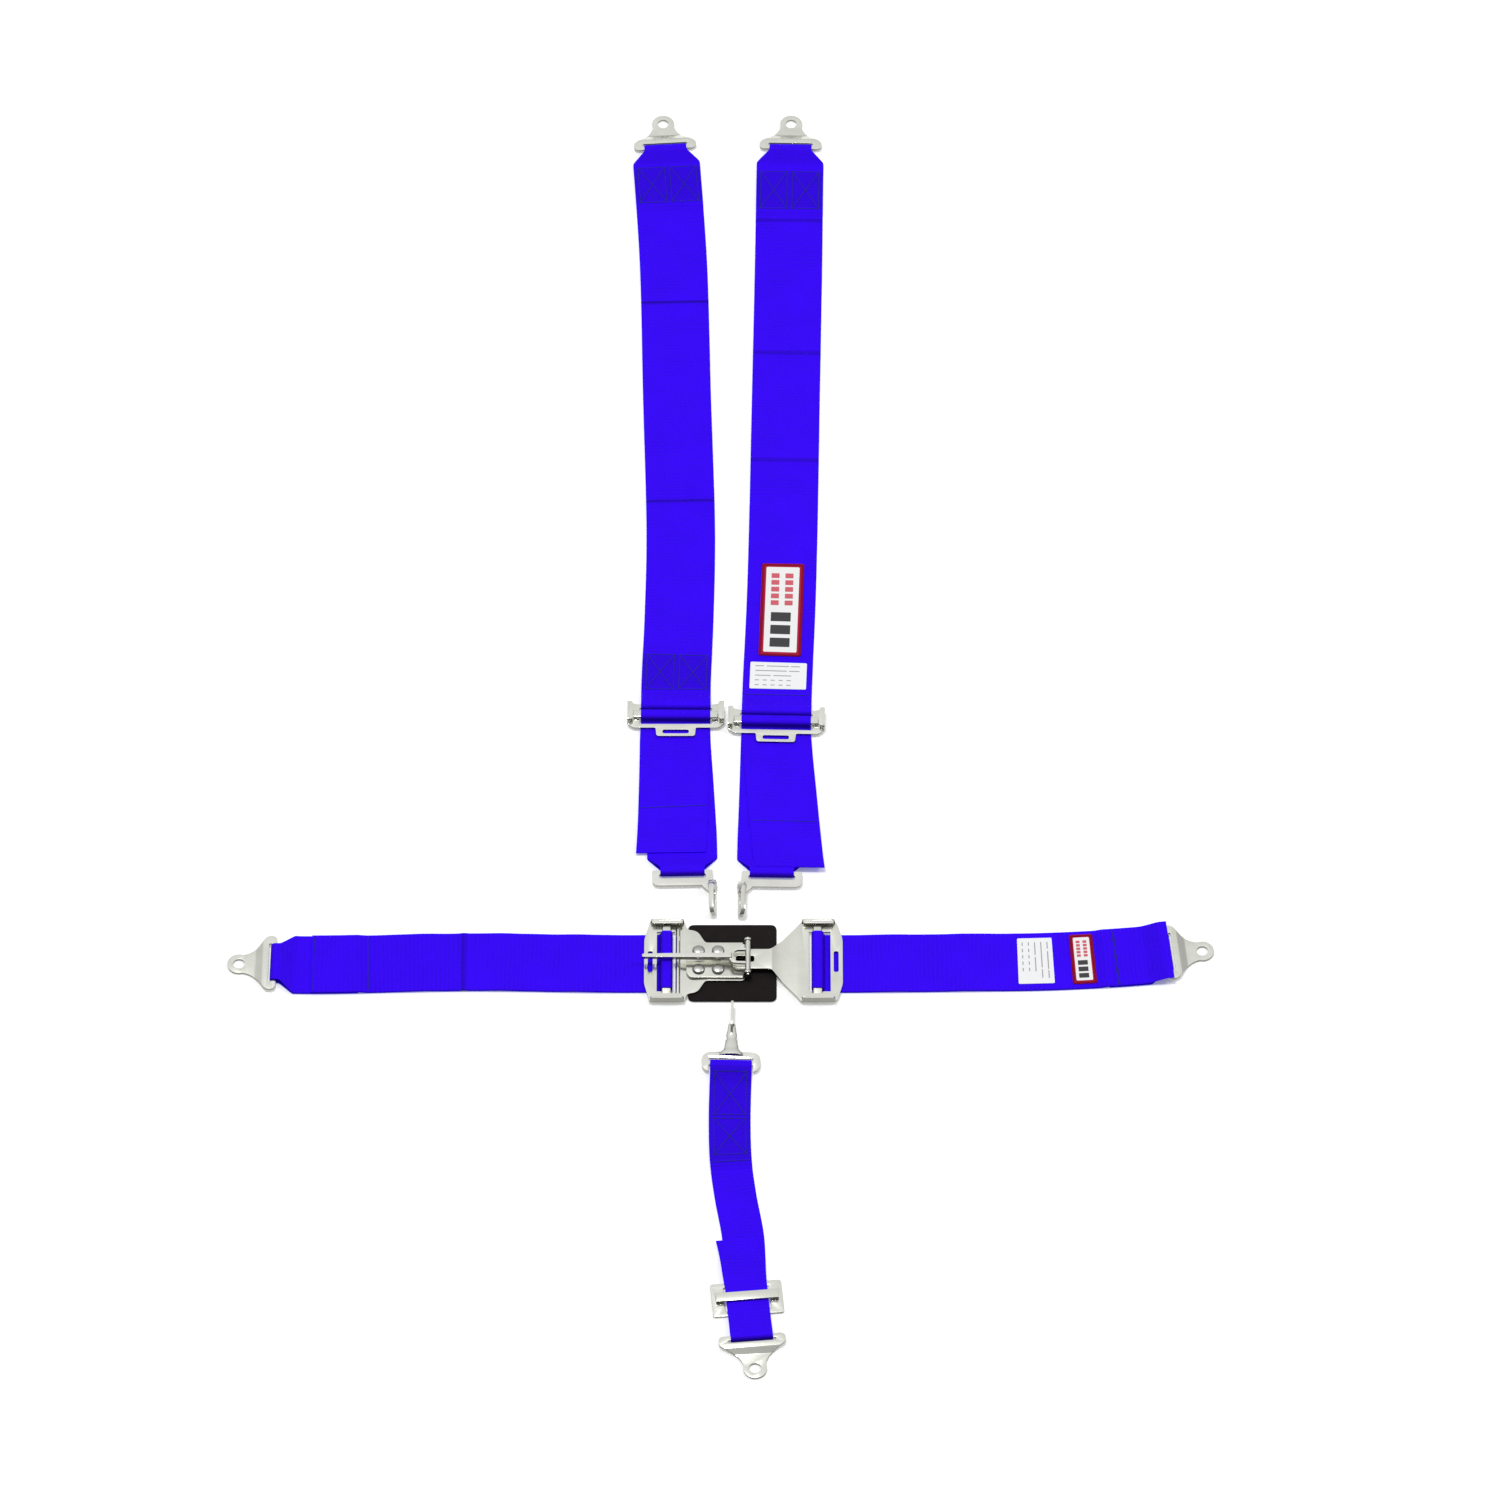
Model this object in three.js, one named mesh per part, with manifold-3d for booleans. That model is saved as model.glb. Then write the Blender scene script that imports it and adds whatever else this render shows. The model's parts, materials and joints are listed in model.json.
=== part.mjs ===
// A racing harness laid out flat: a lap belt closed by a lever latch, two shoulder belts whose hooks
// lie ready above the latch, and an anti-submarine strap below it. Millimetres. X runs along the lap
// belt, Y up the shoulder belts and Z up from the floor, with the origin under the middle.
import * as THREE from "three";
import Module from "manifold-3d";
import { mergeVertices } from "three/addons/utils/BufferGeometryUtils.js";

const wasm = await Module();
wasm.setup();

// Webbing
const WIDE = 76.2; // three-inch lap and shoulder webbing
const NARROW = 44.5; // inch-and-three-quarter anti-submarine webbing
const FOLDED = 48; // wide webbing with its edges folded in, inside a bracket or hook
const THICK = 1.3;
const GAP = 0.3; // clearance between pieces that touch
const FLOOR = THICK / 2; // height of the middle of the layer on the floor
const STEP = THICK + GAP; // from one layer to the next

// Bars inside webbing loops
const BAR = 5; // width of the bar of a bracket, hook or adjuster
const LOOP = 3.75; // radius of the middle of the webbing round such a bar
const BAR_HEIGHT = FLOOR + LOOP;
const SLIDE_WIDE = 10; // loose bar that grips the webbing in an adjuster
const SLIDE_THICK = 3.5;
const SLIDE_LONG = 92;
const SLIDE_HEIGHT = 7.65;
const WRAP = SLIDE_THICK / 2 + GAP + THICK / 2; // radius of the webbing round the loose bar's edges

// Pressed plates
const PLATE = 2.3;
const PLATE_BASE = 3.3; // underside of the plates that lie over two layers of webbing
const BRACKET_THICK = 2.6;
const BRACKET_REACH = 38; // from the bar to the bolt hole
const EYE_RADIUS = 12.5;
const BOLT_RADIUS = 6.35; // half-inch hole
const WINDOW_HALF = 40; // half the width of an opening for wide webbing
const FRAME_HALF = 53; // half the width of an adjuster
const FLANGE = 2.3;
const FLANGE_TOP = 12;

// Latch
const LATCH_Y = -336;
const LATCH_SLIDE_X = -58.5;
const LINK_SLIDE_X = 104;
const PIVOT_X = 29;
const PIVOT_Z = 15.2;
const PIN_RADIUS = 1.6;
const TONGUE_BASE = 8.5;

const steel = { color: 0xc9c9bd, roughness: 0.25, metalness: 0.9 };
const blue = { color: 0x3a00ff, roughness: 0.7, metalness: 0 };
const black = { color: 0x161616, roughness: 0.8, metalness: 0 };
const white = { color: 0xf2f2f2, roughness: 0.6, metalness: 0 };
const crimson = { color: 0xb0102c, roughness: 0.7, metalness: 0 };

const harness = new THREE.Group();

// Solids and meshes

function solidOf(geometry) {
  geometry.deleteAttribute("normal");
  geometry.deleteAttribute("uv");
  const merged = mergeVertices(geometry, 1e-4);
  const vertProperties = new Float32Array(merged.attributes.position.array);
  const triVerts = new Uint32Array(merged.index.array);
  return new wasm.Manifold(new wasm.Mesh({ numProp: 3, vertProperties, triVerts }));
}

function geometryOf(solid) {
  const { vertProperties, triVerts } = solid.getMesh();
  const geometry = new THREE.BufferGeometry();
  geometry.setAttribute("position", new THREE.BufferAttribute(vertProperties, 3));
  geometry.setIndex(new THREE.BufferAttribute(triVerts, 1));
  return geometry;
}

function put(name, solid, finish, parent = harness) {
  const mesh = new THREE.Mesh(geometryOf(solid), new THREE.MeshStandardMaterial(finish));
  mesh.name = name;
  parent.add(mesh);
  return mesh;
}

const joined = (first, ...rest) => rest.reduce((whole, next) => whole.add(next), first);
const cut = (whole, ...holes) => holes.reduce((left, hole) => left.subtract(hole), whole);

// An outline from corners given as x, y and a rounding radius.
function outline(corners) {
  const shape = new THREE.Shape();
  corners.forEach(([x, y, radius = 0], i) => {
    const corner = new THREE.Vector2(x, y);
    const before = new THREE.Vector2(...corners.at(i - 1)).sub(corner);
    const after = new THREE.Vector2(...corners[(i + 1) % corners.length]).sub(corner);
    const start = corner.clone().addScaledVector(before.normalize(), radius);
    const end = corner.clone().addScaledVector(after.normalize(), radius);
    if (i === 0) shape.moveTo(start.x, start.y);
    else shape.lineTo(start.x, start.y);
    if (radius > 0) shape.quadraticCurveTo(x, y, end.x, end.y);
  });
  return shape;
}

// The same corners again on the other side of the X axis, in reverse order.
const bothSides = (half) => [...half, ...half.toReversed().map(([x, y, radius]) => [x, -y, radius])];

function plate(shape, bottom, top, curveSegments = 5) {
  const settings = { depth: top - bottom, bevelEnabled: false, curveSegments };
  return solidOf(new THREE.ExtrudeGeometry(shape, settings).translate(0, 0, bottom));
}

// A shape drawn in X and Z, carried across from -half to half in Y.
function section(shape, half, curveSegments = 5) {
  const settings = { depth: 2 * half, bevelEnabled: false, curveSegments };
  return solidOf(new THREE.ExtrudeGeometry(shape, settings).rotateX(Math.PI / 2).translate(0, half, 0));
}

function block(xLow, xHigh, yLow, yHigh, zLow, zHigh) {
  const box = new THREE.BoxGeometry(xHigh - xLow, yHigh - yLow, zHigh - zLow);
  return solidOf(box.translate((xLow + xHigh) / 2, (yLow + yHigh) / 2, (zLow + zHigh) / 2));
}

// A slot across the plate, with round ends.
function slotCutter(xLow, xHigh, half) {
  const radius = ((xHigh - xLow) / 2) * 0.98;
  const corners = bothSides([[xLow, -half, radius], [xHigh, -half, radius]]);
  return plate(outline(corners), -30, 40, 4);
}

function rod(radius, length, segments = 16) {
  return solidOf(new THREE.CylinderGeometry(radius, radius, length, segments));
}

// The outline of a strip of metal of even thickness along a bent line of x, z points.
function strip(line, thickness) {
  const sides = [[], []];
  line.forEach(([x, z], i) => {
    const here = new THREE.Vector2(x, z);
    const back = i > 0 ? here.clone().sub(new THREE.Vector2(...line[i - 1])).normalize() : null;
    const on = i < line.length - 1 ? new THREE.Vector2(...line[i + 1]).sub(here).normalize() : back;
    const mean = (back ?? on).clone().add(on).normalize();
    const reach = thickness / 2 / mean.dot(on);
    sides[0].push([x - mean.y * reach, z + mean.x * reach]);
    sides[1].push([x + mean.y * reach, z - mean.x * reach]);
  });
  return outline([...sides[0], ...sides[1].toReversed()]);
}

// The line that a strap follows over the floor: a smooth curve, straight past both of its ends.
class Course {
  constructor(points) {
    this.curve = new THREE.CatmullRomCurve3(points.map(([x, y]) => new THREE.Vector3(x, y, 0)));
    this.curve.arcLengthDivisions = 400;
    this.length = this.curve.getLength();
  }

  at(distance) {
    const share = THREE.MathUtils.clamp(distance / this.length, 0, 1);
    const ahead = this.curve.getTangentAt(share);
    const point = this.curve.getPointAt(share).addScaledVector(ahead, distance - share * this.length);
    return { point, ahead, left: new THREE.Vector3(-ahead.y, ahead.x, 0) };
  }

  // A group standing on the course with its X axis pointing along it, or back along it.
  stand(distance, height, backwards = false) {
    const { point, ahead } = this.at(distance);
    const group = new THREE.Group();
    group.position.set(point.x, point.y, height);
    group.rotation.z = Math.atan2(ahead.y, ahead.x) + (backwards ? Math.PI : 0);
    harness.add(group);
    return group;
  }
}

// A closed solid through sections of four corners each, one after another.
function loft(positions) {
  const index = [];
  const quad = (a, b, c, d) => index.push(a, b, c, a, c, d);
  const last = positions.length / 3 - 4;
  for (let i = 0; i < last; i += 4) {
    for (let k = 0; k < 4; k++) {
      const next = (k + 1) % 4;
      quad(i + k, i + next, i + 4 + next, i + 4 + k);
    }
  }
  quad(3, 2, 1, 0);
  quad(last, last + 1, last + 2, last + 3);
  const geometry = new THREE.BufferGeometry();
  geometry.setAttribute("position", new THREE.Float32BufferAttribute(positions, 3));
  geometry.setIndex(index);
  return solidOf(geometry);
}

const CORNERS = [[1, 1], [1, -1], [-1, -1], [-1, 1]];

// A flat bar along X that twists on its way. A section is its x, y, z, width and angle in degrees.
function twisted(sections, thickness) {
  const positions = sections.flatMap(([x, y, z, width, angle]) => {
    const turn = THREE.MathUtils.degToRad(angle);
    const [c, s] = [Math.cos(turn), Math.sin(turn)];
    return CORNERS.flatMap(([face, edge]) => {
      const [across, out] = [(edge * width) / 2, (face * thickness) / 2];
      return [x, y + c * across - s * out, z + s * across + c * out];
    });
  });
  return loft(positions);
}

// Webbing along a course. A station is its distance, height, offset to the left and width.
function webbing(course, stations, thickness = THICK, spacing = 70) {
  const all = [];
  stations.forEach((station, i) => {
    if (i > 0) {
      const last = stations[i - 1];
      const parts = Math.ceil(Math.abs(station[0] - last[0]) / spacing);
      for (let k = 1; k < parts; k++) {
        all.push(station.map((value, j) => THREE.MathUtils.lerp(last[j], value, k / parts)));
      }
    }
    all.push(station);
  });
  const positions = [];
  all.forEach(([distance, height, side, width], i) => {
    const here = new THREE.Vector2(distance, height);
    const back = i > 0 ? here.clone().sub(new THREE.Vector2(...all[i - 1])).normalize() : null;
    const on = i < all.length - 1 ? new THREE.Vector2(...all[i + 1]).sub(here).normalize() : back;
    const mean = (back ?? on).clone().add(on).normalize();
    const reach = thickness / 2 / mean.dot(on);
    for (const [face, edge] of CORNERS) {
      const { point, left } = course.at(distance - face * mean.y * reach);
      point.addScaledVector(left, side + (edge * width) / 2);
      positions.push(point.x, point.y, height + face * mean.x * reach);
    }
  });
  return loft(positions);
}

// Stations on an arc, with its angles in degrees.
function arc(distance, height, radius, from, to, side, width, steps = 6) {
  return Array.from({ length: steps + 1 }, (_, i) => {
    const angle = THREE.MathUtils.degToRad(THREE.MathUtils.lerp(from, to, i / steps));
    return [distance + radius * Math.cos(angle), height + radius * Math.sin(angle), side, width];
  });
}

// The end of a strap sewn round a bar at the given distance. It runs from the hem, which lies
// underneath, out to the bar, over it and back to the strap. Way is 1 where the bar is ahead.
const LOOP_NECK = 6; // from the bar to where the webbing starts to widen again
const LOOP_END = 21; // from the bar to where it has its full width
function sewnEnd(bar, way, sewn, { loopWidth = FOLDED, width = WIDE } = {}) {
  const round = way > 0 ? [-90, 90] : [270, 90];
  const upper = FLOOR + STEP;
  return [
    [bar - way * sewn, FLOOR, 0, width],
    [bar - way * LOOP_END, FLOOR, 0, width],
    [bar - way * LOOP_NECK, FLOOR, 0, loopWidth],
    ...arc(bar, BAR_HEIGHT, LOOP, ...round, 0, loopWidth, 8),
    [bar - way * LOOP_NECK, BAR_HEIGHT + LOOP - 0.35, 0, loopWidth],
    [bar - way * LOOP_END, upper + 0.6, 0, width],
    [bar - way * (LOOP_END + 4), upper, 0, width],
    [bar - way * (sewn + 2), upper, 0, width],
    [bar - way * (sewn + 10), FLOOR, 0, width],
  ];
}

// Webbing round the loose bar of an adjuster. It arrives on the floor, turns up on the far side of
// the bar, comes back over it and leaves as a second layer. Way is 1 where it arrives going ahead.
function slideTurn(centre, way, width = WIDE) {
  const flat = SLIDE_WIDE / 2 - SLIDE_THICK / 2;
  const far = centre + way * (flat + WRAP);
  const near = centre - way * (flat + WRAP);
  const facing = (angle) => (way > 0 ? angle : 180 - angle);
  const rise = 4;
  return [
    ...arc(far - way * rise, FLOOR + rise, rise, facing(-90), facing(0), 0, width, 5),
    ...arc(centre + way * flat, SLIDE_HEIGHT, WRAP, facing(0), facing(90), 0, width, 5),
    ...arc(centre - way * flat, SLIDE_HEIGHT, WRAP, facing(90), facing(180), 0, width, 5),
    ...arc(near - way * LOOP, FLOOR + STEP + LOOP, LOOP, facing(0), facing(-90), 0, width, 5),
  ];
}

// Pieces that repeat

// An anchor bracket, with its bar at the origin and its bolt eye along X, set down onto the floor.
function bracket() {
  const drop = BAR_HEIGHT - BRACKET_THICK / 2;
  const line = [[-BAR / 2, 0], [12, 0], [20, -drop], [BRACKET_REACH + EYE_RADIUS, -drop]];
  const eye = BRACKET_REACH;
  const plan = new THREE.Shape();
  plan.moveTo(-BAR / 2, -29);
  plan.quadraticCurveTo(-BAR / 2, -35.5, 4, -35.5);
  plan.quadraticCurveTo(9, -35.5, 12, -30);
  plan.bezierCurveTo(18, -20, 24, -13.5, eye - 4, -EYE_RADIUS + 0.7);
  plan.absarc(eye, 0, EYE_RADIUS, -1.9, 1.9, false);
  plan.bezierCurveTo(24, 13.5, 18, 20, 12, 30);
  plan.quadraticCurveTo(9, 35.5, 4, 35.5);
  plan.quadraticCurveTo(-BAR / 2, 35.5, -BAR / 2, 29);
  const hole = solidOf(new THREE.CylinderGeometry(BOLT_RADIUS, BOLT_RADIUS, 30, 24).rotateX(Math.PI / 2));
  const blank = section(strip(line, BRACKET_THICK), 40).intersect(plate(plan, -10, 10, 14));
  return cut(blank, slotCutter(BAR / 2, 6.3, 25.4), hole.translate([eye, 0, 0]));
}

// The bar of an adjuster, loose in its frame, with rounded edges.
function slideBar() {
  const x = SLIDE_WIDE / 2;
  const z = SLIDE_THICK / 2;
  const corners = [[-x, -z, z * 0.95], [x, -z, z * 0.95], [x, z, z * 0.95], [-x, z, z * 0.95]];
  return section(outline(corners), SLIDE_LONG / 2, 4);
}

// The turned-up edges of an adjuster frame, each with its lip rolled inwards.
const LIP_WIDE = 6;
const LIP_THICK = 1.9;
function flanges(xLow, xHigh, bottom, top) {
  const corners = [[xLow, bottom], [xHigh, bottom], [xHigh, top, 4], [xLow, top, 4]];
  const wall = section(outline(corners), FLANGE / 2);
  const out = FRAME_HALF - FLANGE / 2;
  const inner = FRAME_HALF - LIP_WIDE;
  return [1, -1].flatMap((side) => {
    const lip = [[xLow + 1.5, inner, 3], [xHigh - 1.5, inner, 3], [xHigh - 1.5, FRAME_HALF - 1, 2],
      [xLow + 1.5, FRAME_HALF - 1, 2]].map(([x, y, radius]) => [x, side * y, radius]);
    return [wall.translate([0, side * out, 0]), plate(outline(lip), top - LIP_THICK, top - 0.1)];
  });
}

// A shoulder adjuster: its rear bar is at the origin, and its pull tab lies along X.
const SHOULDER_SLIDE = 13.2; // from the rear bar to the loose bar
const WINDOW_END = 24.5;
function shoulderAdjuster() {
  const bottom = PLATE_BASE - BAR_HEIGHT;
  const half = bothSides([
    [41, 21, 3], [WINDOW_END + 5, 22, 2], [WINDOW_END + 5, 46, 3],
    [WINDOW_END, FRAME_HALF, 4], [-6, FRAME_HALF, 6], [-BAR / 2, 41, 2],
  ]);
  const frame = joined(plate(outline(half), bottom, bottom + PLATE),
    ...flanges(-4.5, WINDOW_END - 1, bottom, FLANGE_TOP - BAR_HEIGHT));
  const window = block(BAR / 2, WINDOW_END, -WINDOW_HALF, WINDOW_HALF, -10, 10);
  return cut(frame, window, slotCutter(32.3, 37.6, 14.5));
}

// A cutter for the long slot of a blade, across the blade and centred at x, y and z.
const BLADE_LIFT = 3.1; // from the bar's height to the middle of the sub fitting's blade
const PRONG_LIFT = 4.1; // and to the middle of a hook's prong, which is taller and leans
function bladeSlot(x, y, z, length, lean) {
  const [far, high, radius] = [length / 2, 3.5, 3.3];
  const corners = [[-far, -high, radius], [far, -high, radius], [far, high, radius], [-far, high, radius]];
  return section(outline(corners), 6, 4).rotate([lean, 0, 0]).translate([x, y, z]);
}

// A shoulder hook: a ring for the webbing whose corner twists up into a leaning prong with a slot,
// on the side that faces the latch.
const HOOK_LONG = 60;
const HOOK_OUT = 32;
const HOOK_LEAN = 15; // of the prong, from upright
const PRONG_THICK = 4.4;
function shoulderHook(side) {
  const half = BRACKET_THICK / 2;
  const ring = [[-BAR / 2, -33, 3], [18, -33, 8], [18, 33, 8], [-BAR / 2, 33, 3]];
  const corner = [[9, 20, 0], [18, 20, 3], [27, 28.5, 3], [27, 35, 2], [9, 33, 0]];
  const gusset = corner.map(([x, y, radius]) => [x, side * y, radius]);
  const twist = [
    [12, 0, 8, 0], [16, 0.9, 9, 22], [20, 2.6, 12, 52], [24, PRONG_LIFT, 15.6, 70], [28, PRONG_LIFT, 16, 75],
    [54, PRONG_LIFT, 16, 75], [58, PRONG_LIFT, 12, 75], [HOOK_LONG, PRONG_LIFT, 7, 75],
  ];
  const facing = (angle) => (side > 0 ? 180 - angle : angle);
  const sections = twist.map(([x, z, width, angle]) => [x, side * HOOK_OUT, z, width, facing(angle)]);
  const flat = joined(plate(outline(ring), -half, half), plate(outline(gusset), -half, half));
  const hook = joined(flat, twisted(sections, PRONG_THICK));
  const slot = bladeSlot(41, side * HOOK_OUT, PRONG_LIFT, 26, side * HOOK_LEAN);
  return cut(hook, slotCutter(BAR / 2, 8.6, 25.4), slot);
}

// Lap belt and latch

const latch = new THREE.Group();
latch.position.y = LATCH_Y;
harness.add(latch);

// The opening through the frame and the body below the catch.
const throat = () => plate(outline(bothSides([[12.5, -4.4, 3], [26.5, -4.4, 1]])), 0, 12);

function latchFrame() {
  const top = PLATE_BASE + PLATE;
  const half = bothSides([
    [-82.5, 30, 4], [-78, 47, 4], [-77, FRAME_HALF, 2], [-39, FRAME_HALF, 3], [-36, 43, 3],
    [-25, 41, 6], [-20, 31, 4], [-16.5, 25.5, 2.5], [26, 25.5, 4],
  ]);
  const ridge = top + 2.4;
  const rib = section(outline([[-48.7, top], [-43.7, top], [-44.9, ridge, 1], [-47.5, ridge, 1]]), 44, 3);
  const sheet = plate(outline(half.toReversed()), PLATE_BASE, top);
  const frame = joined(sheet, rib, ...flanges(-76, -39.5, PLATE_BASE, FLANGE_TOP));
  const window = block(-69, -49.2, -WINDOW_HALF, WINDOW_HALF, 0, 8);
  return cut(frame, window, slotCutter(-78.7, -73.3, 14), throat());
}

function latchBody() {
  const bottom = PLATE_BASE + PLATE + GAP;
  const top = bottom + PLATE;
  const half = bothSides([[-37, 17, 3], [-33, 23, 3], [30, 23, 2]]);
  const earTop = PIVOT_Z + 3.2;
  const earSide = outline([[23, bottom], [32.5, bottom], [32.5, earTop, 3], [25.5, earTop, 3]]);
  const ear = section(earSide, PLATE / 2);
  const out = 23 - PLATE / 2;
  const body = joined(plate(outline(half.toReversed()), bottom, top),
    ear.translate([0, out, 0]), ear.translate([0, -out, 0]));
  return cut(body, rod(PIN_RADIUS + GAP, 60).translate([PIVOT_X, 0, PIVOT_Z]), throat());
}

// The release lever, with its pivot at the origin: a round bar ending in a fork that reaches to the
// pivot's sleeve, and a catch hanging from the sleeve into the tongue's slot.
function latchLever() {
  const side = outline([
    [-114, -2, 1.8], [-60, -2.5, 4], [-20, -3.8, 1], [-16.5, -3.8, 1], [-16.5, 2.6, 2.5], [-60, 2.6, 4],
    [-114, 2, 1.8],
  ]);
  const plan = outline(bothSides([[-114, 2.1, 2], [-60, 2.9, 4], [-15, 3.1, 0]]));
  const handle = section(side, 5).intersect(plate(plan, -5, 5));
  const fork = bothSides([[-20, 4, 2], [-17, 9.5, 4], [0, 10.5, 0]]);
  const mouth = plate(outline(bothSides([[-15.5, 4, 2], [-12, 7.4, 2], [2, 7.6, 0]])), -5, 5);
  const yoke = cut(plate(outline(fork), -1.5, 1.5), mouth);
  const catchSide = outline([[-2.4, 0], [-4.2, -4.2], [-4.2, -6.6, 0.6], [-1, -6.6, 0.6], [-0.4, 0]]);
  const lever = joined(handle, yoke, section(catchSide, 2), rod(2.9, 40, 20));
  return cut(lever, rod(PIN_RADIUS + GAP, 60));
}

function linkPlate() {
  const middle = PLATE_BASE + PLATE / 2;
  const tongue = TONGUE_BASE + PLATE / 2;
  const line = [[12, tongue], [55, tongue], [66, middle], [132, middle]];
  const half = bothSides([
    [12, 10.5, 4], [18, 13, 2], [54, 13, 4], [82, 47, 2.5], [86, FRAME_HALF, 2.5],
    [124, FRAME_HALF, 2.5], [126.5, 47, 3], [131, 30, 4],
  ]);
  const blank = section(strip(line, PLATE), 60).intersect(plate(outline(half.toReversed()), 0, 20));
  const link = joined(blank, ...flanges(87, 123, PLATE_BASE, FLANGE_TOP));
  const window = block(94.6, 118, -WINDOW_HALF, WINDOW_HALF, 0, 8);
  const catchSlot = plate(outline([[16, -4, 2.5], [36, -4, 2.5], [36, 4, 2.5], [16, 4, 2.5]]), 0, 20);
  return cut(link, window, catchSlot, slotCutter(121.3, 126.7, 14));
}

function rivet() {
  const base = PLATE_BASE + PLATE + GAP + PLATE + GAP;
  const profile = [[0, 0], [6.8, 0], [6.8, 0.7], [6, 1.8], [4.4, 2.5], [0, 2.6]];
  const dome = profile.map((point) => new THREE.Vector2(...point));
  return solidOf(new THREE.LatheGeometry(dome, 20).rotateX(Math.PI / 2)).translate([0, 0, base]);
}

put("latch_frame", latchFrame(), steel, latch);
put("latch_body", latchBody(), steel, latch);
const RIVETS = [[-24, 12.3], [-3, 12.3], [-24, -12.3], [-3, -12.3]];
RIVETS.forEach(([x, y], i) => {
  put(`latch_rivet_${i + 1}`, rivet(), steel, latch).position.set(x, y, 0);
});
const pad = [[-35.5, -50.5, 7], [60, -50.5, 7], [60, 52, 7], [-35.5, 52, 7]];
put("latch_pad", plate(outline(pad), 0, 3), black, latch);
put("latch_pivot_pin", rod(PIN_RADIUS, 50), steel, latch).position.set(PIVOT_X, 0, PIVOT_Z);
put("latch_lever", latchLever(), steel, latch).position.set(PIVOT_X, 0, PIVOT_Z);
put("latch_slide_bar", slideBar(), steel, latch).position.set(LATCH_SLIDE_X, 0, SLIDE_HEIGHT);
put("link_plate", linkPlate(), steel, latch);
put("link_slide_bar", slideBar(), steel, latch).position.set(LINK_SLIDE_X, 0, SLIDE_HEIGHT);

// Left half of the lap belt, from its bracket to the latch and back as a loose tail.
const lapLeft = new Course([
  [-480.5, -337], [-430, -337.6], [-270, -334], [-130, -336], [LATCH_SLIDE_X, LATCH_Y],
]);
const leftEnd = lapLeft.length;
const lapLeftStations = [
  ...sewnEnd(0, -1, 90),
  ...slideTurn(leftEnd, 1),
  [130, FLOOR + STEP, 0, WIDE],
  [100, FLOOR + STEP, 0, WIDE],
  [90, FLOOR + 2 * STEP, 0, WIDE],
  [40, FLOOR + 2 * STEP, 0, WIDE],
];
put("lap_strap_left", webbing(lapLeft, lapLeftStations), blue);
put("lap_bracket_left", bracket(), steel, lapLeft.stand(0, BAR_HEIGHT, true));

// Right half, whose tail covers the bracket's loop.
const lapRight = new Course([
  [LINK_SLIDE_X, LATCH_Y], [150, -336], [271, -334.5], [351, -333], [425, -328.5], [480.5, -323],
]);
const rightEnd = lapRight.length;
const lapRightStations = [
  ...sewnEnd(rightEnd, 1, 66),
  ...slideTurn(0, -1),
  [rightEnd - 86, FLOOR + STEP, 0, WIDE],
  [rightEnd - 76, FLOOR + STEP, 0, WIDE],
  [rightEnd - 68, FLOOR + 2 * STEP, 0, WIDE],
  [rightEnd - 26, FLOOR + 2 * STEP, 0, WIDE],
  [rightEnd - 21, FLOOR + 2 * STEP + 1, 0, WIDE],
  [rightEnd - 5, BAR_HEIGHT + LOOP + STEP, 0, WIDE],
  [rightEnd + 3, BAR_HEIGHT + LOOP + STEP, 0, WIDE],
];
put("lap_strap_right", webbing(lapRight, lapRightStations), blue);
put("lap_bracket_right", bracket(), steel, lapRight.stand(rightEnd, BAR_HEIGHT));

// A flat label or patch lying on a strap, between two distances along it.
const LABEL_THICK = 0.5;
function onStrap(course, low, high, surface, side, width) {
  const height = surface + GAP + LABEL_THICK / 2;
  return webbing(course, [[low, height, side, width], [high, height, side, width]], LABEL_THICK);
}
const lapTop = FLOOR + STEP + THICK / 2;
put("lap_label", onStrap(lapRight, 215.5, 253.5, lapTop, 0, 61), white);
put("lap_patch", onStrap(lapRight, 272.5, 298.5, lapTop, 0, 66), crimson);

// Shoulder belts. Each has an upper strap sewn into its bracket and its adjuster, and a lower
// strap that turns round the adjuster's loose bar and is sewn into the hook.
const shoulders = {
  left: {
    upper: [[-50, 13.5], [-49.8, 50], [-47, 140], [-45.5, 257], [-50.5, 457], [-55.5, 657], [-63, 790],
      [-65.5, 826.5]],
    lower: [[-50, 13.5], [-50, -25], [-46.5, -90], [-43, -160], [-41.8, -214.6]],
    sewnTop: 82, sewnBottom: 78, tailEnd: 200.5, tailSide: -12, hookSide: 1,
  },
  right: {
    upper: [[60.3, 5.5], [61.3, 45], [65.5, 157], [68, 257], [71.5, 457], [75, 657], [76.8, 790],
      [77.6, 826.5]],
    lower: [[60.3, 5.5], [59.4, -33], [57.5, -110], [55.8, -170], [55, -216.6]],
    sewnTop: 92, sewnBottom: 70, tailEnd: 215, tailSide: 19, hookSide: -1,
  },
};
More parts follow.
